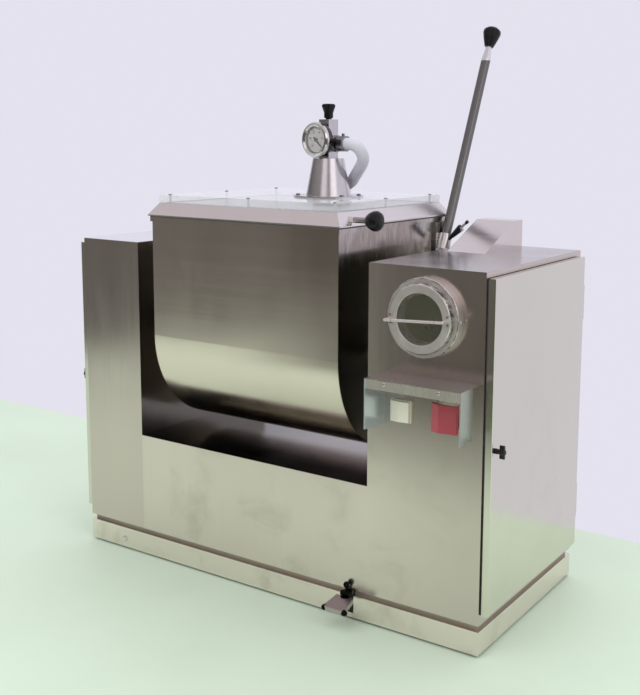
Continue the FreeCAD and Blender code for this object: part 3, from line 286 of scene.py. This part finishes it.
mouldedLook = {
    "coatRough": 0.08,
    "worn": 38.0,
    "wornEnds": (0.5, 0.75),
    "wornShare": 0.6,
    "wornLift": 0.35,        # so that wear shows on black too
    "wornRough": 0.08,
    "fineEnds": (0.3, 0.7),
    "roughShares": (0.85, 1.15),
    "bump": (0.25, 0.00008),
}


def moulded(name, colour, rough, coat=0.0, grain=900.0, wear=0.12, shine=0.5):
    look = mouldedLook
    finish = Finish(name, IOR=1.5, Specular_IOR_Level=shine)
    finish.put(Coat_Weight=coat, Coat_Roughness=look["coatRough"])
    fine = finish.noise(grain, detail=2.0)
    worn = finish.spread(finish.noise(look["worn"], detail=5.0, rough=0.7), *look["wornEnds"])
    light = tuple(min(1.0, part + wear * (look["wornLift"] + part)) for part in colour)
    finish.put(Base_Color=finish.blend(worn * look["wornShare"], colour, light))
    roughness = finish.vary(fine, rough, look["fineEnds"], look["roughShares"])
    finish.put(Roughness=roughness + worn * look["wornRough"])
    finish.put(Normal=finish.bump(fine, *look["bump"]))
    return finish.material


castingLook = {
    "grain": 260.0,
    "grainEnds": (0.3, 0.7),
    "dirt": 14.0,
    "dirtEnds": (0.48, 0.7),
    "dirtShare": 0.7,
    "dirtTone": 0.45,
    "roughShares": (0.85, 1.2),
    "bump": (0.6, 0.0004),
}


def paintedCasting(name, colour, rough):
    look = castingLook
    finish = Finish(name, IOR=1.5)
    grain = finish.noise(look["grain"], detail=4.0, rough=0.65)
    dirt = finish.spread(finish.noise(look["dirt"], detail=5.0, rough=0.65), *look["dirtEnds"])
    finish.put(Base_Color=finish.blend(dirt * look["dirtShare"], colour, shade(colour, look["dirtTone"])))
    finish.put(Roughness=finish.vary(grain, rough, look["grainEnds"], look["roughShares"]))
    finish.put(Normal=finish.bump(grain, *look["bump"]))
    return finish.material


clearLook = {
    "scratches": 150.0,
    "scratchStretch": (1.0, 0.06, 1.0),
    "scratchEnds": (0.6, 0.75),
    "scratchRough": 0.05,
    "haze": 11.0,
    "hazeEnds": (0.3, 0.7),
    "hazeShare": 0.04,
    "roughShares": (0.7, 1.6),
    "edge": 0.25,            # how soon a slanting view turns milky
    "bump": (0.1, 0.00002),
}


def clearSheet(name, tint, rough, opacity, milk):
    look = clearLook
    finish = Finish(name, IOR=1.46, Base_Color=tint)
    scratches = finish.noise(look["scratches"], look["scratchStretch"], detail=2.0, distortion=1.2)
    scratches = finish.spread(scratches, *look["scratchEnds"])
    haze = finish.spread(finish.noise(look["haze"], detail=3.0), *look["hazeEnds"])
    facing = finish.node("ShaderNodeLayerWeight", {}, {"Blend": look["edge"]}, out="Facing")
    finish.put(Alpha=finish.spread(facing, 0.0, 1.0, opacity, opacity + milk) + haze * look["hazeShare"])
    roughness = finish.vary(haze, rough, (0.0, 1.0), look["roughShares"])
    finish.put(Roughness=roughness + scratches * look["scratchRough"])
    finish.put(Normal=finish.bump(scratches, *look["bump"]))
    return finish.material


rubberLook = {
    "depth": (0.01, 0.009, 0.008),       # metres that light goes in
    "cloth": 90.0,
    "clothEnds": (0.3, 0.7),
    "clothRough": (0.42, 0.56),
    "dust": 16.0,
    "dustEnds": (0.45, 0.7),
    "dustShare": 0.5,
    "dustTone": 0.86,
    "bump": (0.2, 0.0003),
}


def hoseRubber(name, colour):
    look = rubberLook
    finish = Finish(name, IOR=1.45, Coat_Weight=0.05, Coat_Roughness=0.12)
    finish.put(Subsurface_Weight=0.15, Subsurface_Radius=look["depth"])
    cloth = finish.noise(look["cloth"], detail=3.0, rough=0.6)
    dust = finish.spread(finish.noise(look["dust"], detail=4.0), *look["dustEnds"])
    finish.put(Base_Color=finish.blend(dust * look["dustShare"], colour, shade(colour, look["dustTone"])))
    finish.put(Roughness=finish.spread(cloth, *look["clothEnds"], *look["clothRough"]))
    finish.put(Normal=finish.bump(cloth, *look["bump"]))
    return finish.material


# Marks, tones that belong to one place of a piece: most are painted light and shade, a few are real dirt,
# black parts and bare metal. Places are in metres.

bowlPaintedLight = {
    "lowHeights": (0.70, 0.60),      # the painted floor reflection, a lighter low tone, comes in from the first to the second
    "lowReflectionTone": (0.77, 0.68, 0.60),
    "cornerAcross": (0.0, 0.22),     # painted shade on the front's upper right corner
    "cornerHeights": (0.78, 0.88),
    "cornerShare": 0.8,
    "cornerShadeTone": (0.47, 0.40, 0.35),
    "end": 0.2505,           # the bowl's right end lies beyond this; it is painted dark shade with painted reflection in streaks
    "reflectionHeights": (0.872, 0.896),   # the end carries painted reflection above these
    "edge": 24.0,
    "edgeStretch": (0.0, 1.0, 0.14),
    "edgeWander": 0.11,
    "streaks": 55.0,
    "streakStretch": (0.0, 1.0, 0.2),
    "streakEnds": (0.35, 0.65),
    "streakShare": 0.55,
    "endShadeTone": (0.23, 0.225, 0.18),
    "endReflectionTone": (0.60, 0.55, 0.53),
}


def paintBowlLight(finish, tone):
    look = bowlPaintedLight
    height = finish.along(2)
    # painted reflection: the bowl's lower part takes a lighter tone
    tone = finish.blend(finish.spread(height, *look["lowHeights"]), tone, look["lowReflectionTone"])
    # painted shade darkens the front's upper right corner
    across = finish.spread(finish.along(0), *look["cornerAcross"])
    corner = across * finish.spread(height, *look["cornerHeights"]) * look["cornerShare"]
    tone = finish.blend(corner, tone, look["cornerShadeTone"])
    # painted shade on the right end, with painted reflection in streaks along its top
    edge = finish.noise(look["edge"], look["edgeStretch"], detail=4.0, rough=0.75)
    raised = finish.spread(height - (edge - 0.5) * look["edgeWander"], *look["reflectionHeights"])
    streaks = finish.noise(look["streaks"], look["streakStretch"], detail=3.0, rough=0.7)
    streaks = finish.spread(streaks, *look["streakEnds"])
    pale = finish.blend(streaks * look["streakShare"], look["endReflectionTone"], look["endShadeTone"])
    return finish.beyond(0, look["end"], tone, finish.blend(raised, look["endShadeTone"], pale))


pedestalPaintedLight = {
    "leftPaintedLight": (0.64, 0.56, 0.52),
    "rightAcross": (0.34, 0.60, 0.0, 0.6),       # two places, and the share of painted shade at each
    "rightPaintedLight": (0.56, 0.49, 0.45),
    "midRise": (0.34, 0.46),         # a band of painted shade comes in over these heights
    "midFall": (0.80, 0.66),         # and goes over these
    "midAcross": (0.30, 0.62, 0.10, 0.15),
    "midShadeTone": (0.36, 0.31, 0.27),
    "leftInner": -0.4215,    # the inner sides, shaded behind the front skin
    "rightInner": 0.3285,
    "frontSkin": -0.270,
    "innerShade": (0.44, 0.42, 0.37),
    "topPlate": 0.8882,      # the top plates lie above this and carry painted reflection, pale on the left and darker on the right
    "topLeftReflection": (0.90, 0.90, 0.91),
    "topRightReflection": (0.53, 0.49, 0.49),
}


def paintPedestalLight(finish, tone):
    look = pedestalPaintedLight
    side = finish.along(0)
    height = finish.along(2)
    left = side.below(0.0)
    # painted shade: the left pedestal darker, the right one darker towards its outer side
    tone = finish.blend(left, tone, look["leftPaintedLight"])
    tone = finish.blend(finish.spread(side, *look["rightAcross"]), tone, look["rightPaintedLight"])
    # a band of painted shade across the middle heights
    middle = finish.spread(height, *look["midRise"]) * finish.spread(height, *look["midFall"])
    tone = finish.blend(middle * finish.spread(side, *look["midAcross"]), tone, look["midShadeTone"])
    inner = side.above(look["leftInner"]) * left + side.below(look["rightInner"]) * (1 - left)
    behind = finish.along(1).above(look["frontSkin"])
    tone = finish.blend(inner * behind, tone, look["innerShade"])
    # painted reflection on the top plates
    return finish.beyond(2, look["topPlate"], tone, finish.blend(left, look["topRightReflection"], look["topLeftReflection"]))


trayPaintedShade = {
    "across": (0.05, -0.22),         # painted shade darkens it from the first to the second
    "shade": (0.14, 0.13, 0.12),
}


def paintTrayShade(finish, tone):
    return finish.blend(finish.spread(finish.along(0), *trayPaintedShade["across"]), tone, trayPaintedShade["shade"])


ringMarks = {
    "middle": (0.484, 0.776),        # across and up
    "seams": (0.0552, 0.0797, 0.0905),       # radii
    "half": 0.0009,          # half a seam's width
    "patches": 70.0,
    "patchEnds": (0.35, 0.6),
    "dirt": (0.10, 0.085, 0.075),
}


def ringTone(finish, tone):
    look = ringMarks
    across, high = look["middle"]
    aside = finish.along(0) - across
    raised = finish.along(2) - high
    reach = (aside * aside + raised * raised) ** 0.5
    patches = finish.spread(finish.noise(look["patches"], detail=3.0, rough=0.7), *look["patchEnds"])
    for radius in look["seams"]:
        tone = finish.blend(abs(reach - radius).below(look["half"]) * patches, tone, look["dirt"])
    return tone


lidPaintedShade = {
    "stem": 0.262,           # the handle's stem lies beyond this and is darkened with painted shade
    "stemShadeTone": (0.42, 0.40, 0.40),
}


def paintLidShade(finish, tone):
    return finish.beyond(0, lidPaintedShade["stem"], tone, lidPaintedShade["stemShadeTone"])


guardPaintedLight = {
    "leftCheek": 0.378,      # the left cheek lies before this and takes a lighter painted reflection
    "leftPaintedLight": (0.72, 0.80, 0.86),
    "rightCheek": 0.6184,    # the right one beyond this, darker with painted shade and reflection
    "rightPaintedLight": (0.40, 0.43, 0.36),
    "roof": 0.6372,          # and the roof above this, darker with painted shade
    "roofShadeTone": (0.46, 0.41, 0.38),
}


def paintGuardLight(finish, tone):
    look = guardPaintedLight
    tone = finish.blend(finish.along(0).below(look["leftCheek"]), tone, look["leftPaintedLight"])
    tone = finish.beyond(0, look["rightCheek"], tone, look["rightPaintedLight"])
    return finish.beyond(2, look["roof"], tone, look["roofShadeTone"])


leverMarks = {
    "ferrule": 1.393,        # the lever ends in a bright ferrule above this
    "ferruleTone": (0.80, 0.79, 0.80),
}


def leverTone(finish, tone):
    return finish.beyond(2, leverMarks["ferrule"], tone, leverMarks["ferruleTone"])


pedalMarks = {
    "tips": [                # middle and reach of the ball, the bush and the tread's two ends
        ((0.276, -0.283, 0.092), 0.011), ((0.276, -0.285, 0.070), 0.0155),
        ((0.246, -0.336, 0.047), 0.0085), ((0.306, -0.336, 0.047), 0.0085),
    ],
    "black": (0.012, 0.012, 0.012),
}


def pedalTone(finish, tone):
    tips = 0.0
    for middle, reach in pedalMarks["tips"]:
        tips = finish.away(middle).below(reach).most(tips)
    return finish.blend(tips, tone, pedalMarks["black"])


caseMarks = {
    "ahead": (-0.156434, -0.987688),     # the way that the gauge faces
    "rim": 0.0830,           # its bright rim starts here, measured that way
    "tone": (0.10, 0.095, 0.095),
}


def caseTone(finish, tone):
    across, deep = caseMarks["ahead"]
    reach = finish.along(0) * across + finish.along(1) * deep
    return finish.blend(reach.below(caseMarks["rim"]), tone, caseMarks["tone"])


clampLook = {
    "stud": (0.3284, 0.3402),        # bare metal between these
    "studTone": (0.78, 0.76, 0.78),
    "grain": 600.0,
    "grainEnds": (0.3, 0.7),
    "roughShares": (0.85, 1.15),
    "bump": (0.2, 0.00006),
}


def clampBlack(name, colour, rough):
    look = clampLook
    finish = Finish(name, IOR=1.5, Coat_Roughness=0.08)
    grain = finish.noise(look["grain"], detail=2.0)
    low, high = look["stud"]
    stud = finish.along(0).above(low) * finish.along(0).below(high)
    finish.put(Base_Color=finish.blend(stud, colour, look["studTone"]), Metallic=stud)
    finish.put(Roughness=finish.vary(grain, rough, look["grainEnds"], look["roughShares"]))
    finish.put(Normal=finish.bump(grain, *look["bump"]))
    return finish.material


finishes = {
    "panel": brushedSteel("panelSteel", (0.76, 0.67, 0.62), 0.20, darker=0.90, stain=0.5, wavy=22.0),
    "pedestal": brushedSteel(
        "pedestalSteel", (0.76, 0.67, 0.62), 0.20, darker=0.90, stain=0.5, wavy=22.0, marks=paintPedestalLight,
    ),
    # painted light: the plinth's steel is a lighter copy of the panel steel, lifting the shade near the floor
    "plinth": brushedSteel("plinthSteel", (0.88, 0.80, 0.73), 0.20, grainAxis=0, stain=0.6),
    "door": brushedSteel("doorSteel", (0.72, 0.69, 0.605), 0.13, darker=0.97, stain=0.12, wavy=10.0),
    "top": brushedSteel("topSteel", (0.77, 0.70, 0.67), 0.14, grainAxis=0, darker=0.9),
    # painted shade: the drip tray's steel is a darkened copy, standing for the shade under the bowl
    "tray": brushedSteel("traySteel", (0.34, 0.315, 0.30), 0.14, grainAxis=0, marks=paintTrayShade),
    "bowl": brushedSteel(
        "bowlSteel", (0.75, 0.655, 0.59), 0.18, grainAxis=0, stain=0.2, wavy=12.0, marks=paintBowlLight,
    ),
    "lid": brushedSteel("lidSteel", (0.84, 0.79, 0.78), 0.22, grainAxis=0, marks=paintLidShade),
    "machined": brushedSteel("machinedSteel", (0.72, 0.70, 0.69), 0.24, grainAxis=1),
    "pedal": brushedSteel("pedalSteel", (0.50, 0.46, 0.46), 0.32, darker=0.9, marks=pedalTone),
    "guard": brushedSteel("guardSteel", (0.745, 0.69, 0.62), 0.22, stain=0.3, metal=0.8, marks=paintGuardLight),
    "ring": brushedSteel(
        "ringSteel", (0.88, 0.81, 0.78), 0.34, grainAxis=1, darker=0.74, metal=0.82, marks=ringTone,
    ),
    "can": brushedSteel("canSteel", (0.60, 0.57, 0.48), 0.35),
    # painted shade: the strip in the recess is dark, standing for the shade inside the recess
    "groove": brushedSteel("grooveSteel", (0.42, 0.37, 0.31), 0.45),
    "polished": polishedSteel("polishedSteel", (0.80, 0.79, 0.78), 0.10),
    # painted shade: the lever tube is a darkened copy of the polished steel; only its ferrule keeps the
    # bright tone
    "lever": polishedSteel("leverSteel", (0.20, 0.192, 0.186), 0.30, marks=leverTone),
    "cone": brushedSteel("coneSteel", (0.76, 0.725, 0.735), 0.17, darker=0.70),
    "block": brushedSteel("blockSteel", (0.72, 0.70, 0.705), 0.24, darker=0.6),
    "clamp": clampBlack("clampBlack", (0.008, 0.008, 0.009), 0.3),
    "gauge": polishedSteel("gaugeSteel", (0.80, 0.79, 0.78), 0.10, marks=caseTone),
    "fitting": brushedSteel("fittingSteel", (0.42, 0.41, 0.41), 0.26, grainAxis=1, darker=0.6),
    "gear": brushedSteel("gearSteel", (0.42, 0.42, 0.42), 0.35, grainAxis=0),
    "casting": paintedCasting("greyCasting", (0.22, 0.23, 0.24), 0.5),
    "pumpPaint": paintedCasting("pumpPaint", (0.06, 0.10, 0.17), 0.42),
    "boxPaint": moulded("boxGrey", (0.52, 0.52, 0.50), 0.5, grain=500.0),
    "knob": moulded("blackKnob", (0.004, 0.004, 0.005), 0.3, wear=0.006, shine=0.3),
    "black": moulded("blackPlastic", (0.008, 0.008, 0.009), 0.42, wear=0.015, shine=0.35),
    "rubber": moulded("blackRubber", (0.022, 0.021, 0.02), 0.65, wear=0.04),
    "gasket": moulded("greyGasket", (0.09, 0.085, 0.08), 0.6, wear=0.06),
    "ivory": moulded("ivoryPlastic", (0.82, 0.77, 0.66), 0.36, coat=0.2, wear=-0.08),
    "red": moulded("redPlastic", (0.40, 0.055, 0.075), 0.36, coat=0.2, wear=0.05),
    "dial": moulded("dialWhite", (0.47, 0.41, 0.425), 0.5, wear=-0.04),
    "print": moulded("dialPrint", (0.02, 0.02, 0.02), 0.5),
    "seal": moulded("sealPlastic", (0.78, 0.76, 0.68), 0.4, wear=-0.05),
    "window": clearSheet("clearWindow", (0.88, 0.86, 0.91), 0.05, 0.32, milk=0.55),
    "lens": clearSheet("clearLens", (0.86, 0.86, 0.86), 0.03, 0.04, milk=0.12),
    "trapLens": clearSheet("trapLens", (0.17, 0.16, 0.12), 0.05, 0.18, milk=0.2),
    "hose": hoseRubber("hoseWhite", (0.62, 0.60, 0.67)),
}
print("finishes made:", len(finishes))

nodeFinish = {
    "panel": "front_cross_panel rear_covers",
    "pedestal": "left_pedestal right_pedestal",
    "plinth": "plinth_frame",
    "guard": "control_guard",
    "door": "left_door right_door",
    "top": "exhaust_hood",
    "tray": "drip_tray",
    "groove": "plinth_strip",
    "bowl": "bowl_shell",
    "lid": "lid_frame",
    "cone": "turret_cone",
    "block": "valve_block",
    "ring": "trap_cover trap_ring trap_handle",
    "can": "trap_canister",
    "pedal": "foot_pedal",
    "fitting": "hose_fittings trap_screws lid_screws",
    "machined": "mixing_shaft mixing_paddles lever_socket brake_rod left_trunnion right_trunnion "
                "lid_hinges door_hinges",
    "polished": "cabinet_screws",
    "gauge": "gauge_case",
    "lever": "lever_tube",
    "clamp": "lever_clamp",
    "gear": "drive_gear drive_pinion motor_bracket pedal_bracket",
    "casting": "trunnion_bearings gearmotor",
    "pumpPaint": "vacuum_pump",
    "boxPaint": "electrical_box",
    "knob": "lid_handle_knob lever_knob valve_knob",
    "black": "left_door_knob right_door_knob gauge_needle",
    "rubber": "levelling_feet",
    "gasket": "lid_gasket",
    "ivory": "start_button switch_bases",
    "red": "stop_flap",
    "dial": "gauge_dial",
    "seal": "shaft_seals",
    "window": "lid_window",
    "lens": "gauge_glass",
    "trapLens": "trap_glass",
    "hose": "vacuum_hose",
}

edgeLook = {
    "sharper": 40,           # degrees; only edges sharper than this are softened
    "segments": 2,
    "widths": {
        0.0012: "plinth_frame left_pedestal right_pedestal front_cross_panel drip_tray lid_frame "
                "lid_window valve_block",
        0.0008: "control_guard exhaust_hood plinth_strip trap_cover foot_pedal turret_cone "
                "electrical_box lever_socket",
        0.0006: "start_button stop_flap switch_bases lid_hinges door_hinges trap_ring mixing_paddles",
    },
}


def dressNodes():
    for key, names in nodeFinish.items():
        for name in names.split():
            piece = nodes[name]
            piece.data.materials.clear()
            piece.data.materials.append(finishes[key])


def softenEdges(look):
    for width, names in look["widths"].items():
        for name in names.split():
            soften = nodes[name].modifiers.new("softEdges", "BEVEL")
            soften.width = width
            soften.segments = look["segments"]
            soften.limit_method = "ANGLE"
            soften.angle_limit = math.radians(look["sharper"])


dressNodes()
softenEdges(edgeLook)
print("nodes dressed")


# Vacuum hose, a smooth curve with the route's points as its control points

hoseLook = {
    "radius": 0.0155,        # metres
    "length": 0.467,
    "route": [
        (0.1177, -0.0581, 1.159), (0.1370, -0.0611, 1.159), (0.1545, -0.0565, 1.1485), (0.161, -0.047, 1.131),
        (0.155, -0.035, 1.113), (0.114, -0.005, 1.082), (0.076, 0.028, 1.056), (0.030, 0.054, 1.041),
        (-0.010, 0.080, 1.0385), (-0.044, 0.104, 1.038), (-0.085, 0.138, 1.039), (-0.100, 0.174, 1.040),
        (-0.100, 0.208, 1.040),
    ],
}


def addHose(look):
    data = bpy.data.curves.new("vacuumHose", "CURVE")
    data.dimensions = "3D"
    data.bevel_depth = look["radius"]
    data.bevel_resolution = 7
    data.use_fill_caps = True
    line = data.splines.new("NURBS")
    line.points.add(len(look["route"]) - 1)
    for point, place in zip(line.points, look["route"]):
        point.co = (*place, 1.0)
    line.order_u = 3
    line.use_endpoint_u = True
    line.resolution_u = 12
    hose = linkObject("vacuumHose", data)
    data.materials.append(finishes["hose"])
    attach(hose, "lid")
    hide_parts("vacuum_hose")


addHose(hoseLook)
print("hose laid")


# Rubber seals between the pedestals and their doors

sealLook = {
    "across": 0.632,         # from the middle to each side, in metres
    "radius": 0.0018,
    "front": -0.2655,
    "back": 0.2555,
    "low": 0.1045,
    "high": 0.8725,
}


def addDoorSeal(name, side, look):
    data = bpy.data.curves.new(name, "CURVE")
    data.dimensions = "3D"
    data.bevel_depth = look["radius"]
    data.bevel_resolution = 3
    loop = data.splines.new("POLY")
    corners = [
        (look["front"], look["low"]), (look["back"], look["low"]),
        (look["back"], look["high"]), (look["front"], look["high"]),
    ]
    loop.points.add(len(corners) - 1)
    for point, (depth, height) in zip(loop.points, corners):
        point.co = (side * look["across"], depth, height, 1.0)
    loop.use_cyclic_u = True
    seal = linkObject(name, data)
    data.materials.append(finishes["gasket"])
    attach(seal, "cabinet")


for name, side in (("leftDoorSeal", -1), ("rightDoorSeal", 1)):
    addDoorSeal(name, side, sealLook)
print("door seals laid")


# Gauge face: a dark rim, ticks and numbers

dialLook = {
    "middle": (0.054, -0.048, 1.168),
    "ahead": (-0.156434, -0.987688, 0.0),        # the way that it faces
    "right": (0.987688, -0.156434, 0.0),         # the reader's right
    "face": 0.0452,          # the printed face lies this far ahead of the middle
    "radius": 0.0341,
    "rim": 0.0022,
    "rimSteps": 72,
    "start": -42,            # degrees, where the pointer rests
    "sweep": 265,
    "ticks": 50,
    "mainEvery": 5,          # each fifth tick is longer and wider
    "tickGap": 0.0012,
    "tickLength": (0.0016, 0.0034),
    "tickHalf": (0.0003, 0.0006),
    "numbers": ["0", "20", "40", "60", "80", "100"],
    "numberSize": 0.0078,
    "numberReach": 0.0215,
    "thickness": 0.0002,
}


def flatNumber(words, size):
    letters = bpy.data.curves.new("number", "FONT")
    letters.body = words
    letters.size = size
    letters.align_x = "CENTER"
    letters.align_y = "CENTER"
    writer = linkObject("number", letters)
    bpy.context.view_layer.update()
    flat = bpy.data.meshes.new_from_object(writer)
    bpy.data.objects.remove(writer)
    return flat


def addDialPrint(look):
    ahead = Vector(look["ahead"])
    right = Vector(look["right"])
    up = Vector((0, 0, 1))
    middle = Vector(look["middle"]) + ahead * look["face"]
    marks = bmesh.new()

    def spot(reach, angle, side=0.0):
        across = reach * math.cos(angle) - side * math.sin(angle)
        high = reach * math.sin(angle) + side * math.cos(angle)
        return middle + right * across + up * high

    def patch(spots):
        marks.faces.new([marks.verts.new(place) for place in spots])

    def sweepAngle(index, count):
        return math.radians(look["start"] + look["sweep"] * index / count)

    outer = look["radius"]
    inner = outer - look["rim"]
    for step in range(look["rimSteps"]):
        first = math.tau * step / look["rimSteps"]
        second = math.tau * (step + 1) / look["rimSteps"]
        patch([spot(inner, first), spot(outer, first), spot(outer, second), spot(inner, second)])
    start = inner - look["tickGap"]
    for index in range(look["ticks"] + 1):
        angle = sweepAngle(index, look["ticks"])
        main = 1 if index % look["mainEvery"] == 0 else 0
        end = start - look["tickLength"][main]
        half = look["tickHalf"][main]
        around = ((end, -half), (start, -half), (start, half), (end, half))
        patch([spot(reach, angle, side) for reach, side in around])
    facing = Matrix((right, up, ahead)).transposed().to_4x4()
    for index, words in enumerate(look["numbers"]):
        angle = sweepAngle(index, len(look["numbers"]) - 1)
        place = middle + (right * math.cos(angle) + up * math.sin(angle)) * look["numberReach"]
        flat = flatNumber(words, look["numberSize"])
        flat.transform(Matrix.Translation(place) @ facing)
        marks.from_mesh(flat)
    mesh = bpy.data.meshes.new("dialPrint")
    marks.to_mesh(mesh)
    face = linkObject("dialPrint", mesh)
    mesh.materials.append(finishes["print"])
    thicken = face.modifiers.new("thickness", "SOLIDIFY")
    thicken.thickness = look["thickness"]
    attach(face, "lid")


addDialPrint(dialLook)
print("gauge face printed")


# Floor, backdrop and lamps. Metal mirrors a room of its own: a pale wall, a darker hall and two windows.

stageLook = {
    "reach": 12.0,           # the floor goes this far to each side
    "back": 0.60,            # and meets the wall here
    "floor": (0.69, 0.81, 0.655),
    "worn": 1.6,
    "wornEnds": (0.35, 0.7),
    "wornTone": 0.94,
    "lane": (-1.95, 1.0, 1.5),       # middle of the floor's lit lane, how far its sides count and how much
    "laneFade": (-2.5, -3.75),       # its reflection fades from the first depth to the second
    "laneTurn": (-1.0, -3.0),        # and turns into the hall's left over these
    "room": (0.775, 0.76, 0.855),
    "wallEnds": (-0.25, 0.25),
    "wallSlant": 0.35,
    "ceiling": (0.60, 0.55, 0.58),
    "ceilingEnds": (0.15, 0.45),
    "hall": (0.118, 0.112, 0.098),
    "hallLeft": (0.155, 0.150, 0.142),
    "hallEnds": (-0.54, -0.70),
    "windows": [             # way to each window, where its edge starts and its colour
        (0.83, -0.39, 0.40, 0.93, (1.35, 1.31, 1.35)),
        (0.16, -0.89, 0.42, 0.935, (0.98, 0.93, 0.96)),
    ],
    "windowEdge": 0.045,
    "daylight": (0.95, 0.97, 1.0),
    "strength": 0.88,
}
lamps = {
    "keyLamp": {"place": (-1.2, -4.0, 3.8), "aim": (0, 0, 0.6), "size": 3.6, "power": 62},
    "sideLamp": {"place": (4.0, -0.8, 3.0), "aim": (0.2, 0, 0.6), "size": 3.4, "power": 35},
    "topLamp": {"place": (0.4, 1.0, 4.4), "aim": (0, 0, 0.6), "size": 4.0, "power": 42},
}


def addFloor(look):
    floor = bpy.data.meshes.new("floor")
    reach = look["reach"]
    back = look["back"]
    corners = [(-reach, -reach, 0), (reach, -reach, 0), (reach, back, 0), (-reach, back, 0)]
    floor.from_pydata(corners, [], [(0, 1, 2, 3)])
    ground = linkObject("floor", floor)
    paint = Finish("floorPaint", Roughness=0.5)
    worn = paint.spread(paint.noise(look["worn"], detail=4.0, rough=0.6), *look["wornEnds"])
    paint.put(Base_Color=paint.blend(worn, look["floor"], shade(look["floor"], look["wornTone"])))
    # painted reflection: to glossy rays the floor away from its lit lane glows with the dim hall colours
    glossy = paint.node("ShaderNodeLightPath", out="Is Glossy Ray")
    middle, widest, slant = look["lane"]
    aside = abs(paint.along(0) - middle).least(widest)
    away = paint.spread(paint.along(1) - aside * slant, *look["laneFade"], kind="SMOOTHSTEP")
    leftward = paint.spread(paint.along(0), *look["laneTurn"])
    hall = paint.blend(leftward, look["hall"], look["hallLeft"])
    dim = paint.node("ShaderNodeEmission", {}, {"Color": hall})
    paint.show(paint.node("ShaderNodeMixShader", {}, {0: glossy * away, 1: paint.surface, 2: dim}))
    floor.materials.append(paint.material)


class Room(Finish):  # the world's nodes, written like a finish
    def __init__(self, name):
        self.start(bpy.data.worlds.new(name), "ShaderNodeOutputWorld")


def addWorld(look):
    room = Room("room")
    bpy.context.scene.world = room.material
    seen, through, glossy = [
        room.node("ShaderNodeLightPath", out=f"Is {kind} Ray")
        for kind in ("Camera", "Transmission", "Glossy")
    ]
    direction = room.node("ShaderNodeTexCoord", out="Generated")
    right, ahead, up = [room.node("ShaderNodeSeparateXYZ", {}, {0: direction}, out=axis) for axis in "XYZ"]
    hall = room.blend(room.spread(right, *look["hallEnds"]), look["hall"], look["hallLeft"])
    front = room.blend(room.spread(up, *look["ceilingEnds"]), hall, look["ceiling"])
    toWall = room.spread(ahead + right * look["wallSlant"], *look["wallEnds"])
    around = room.blend(toWall, front, look["room"])
    for across, deep, high, edge, colour in look["windows"]:
        toWindow = right * across + ahead * deep + up * high
        around = room.blend(room.spread(toWindow, edge, edge + look["windowEdge"]), around, colour)
    daylight = {"Color": look["daylight"], "Strength": look["strength"]}
    soft, mirror, pale = [
        room.node("ShaderNodeBackground", {}, values)
        for values in (daylight, {"Color": around}, {"Color": look["room"]})
    ]
    lit = room.node("ShaderNodeMixShader", {}, {0: glossy, 1: soft, 2: mirror})
    room.show(room.node("ShaderNodeMixShader", {}, {0: seen.most(through), 1: lit, 2: pale}))


def addLamps(lights):
    for name, look in lights.items():
        data = bpy.data.lights.new(name, "AREA")
        data.shape = "SQUARE"
        data.size = look["size"]
        data.energy = look["power"]
        lamp = linkObject(name, data)
        lamp.location = look["place"]
        lamp.visible_glossy = False      # metal mirrors the room alone
        aim = Vector(look["aim"]) - Vector(look["place"])
        lamp.rotation_euler = aim.to_track_quat("-Z", "Y").to_euler()


addFloor(stageLook)
addWorld(stageLook)
addLamps(lamps)
bpy.context.scene.view_settings.view_transform = "Standard"
print("stage and lamps set")
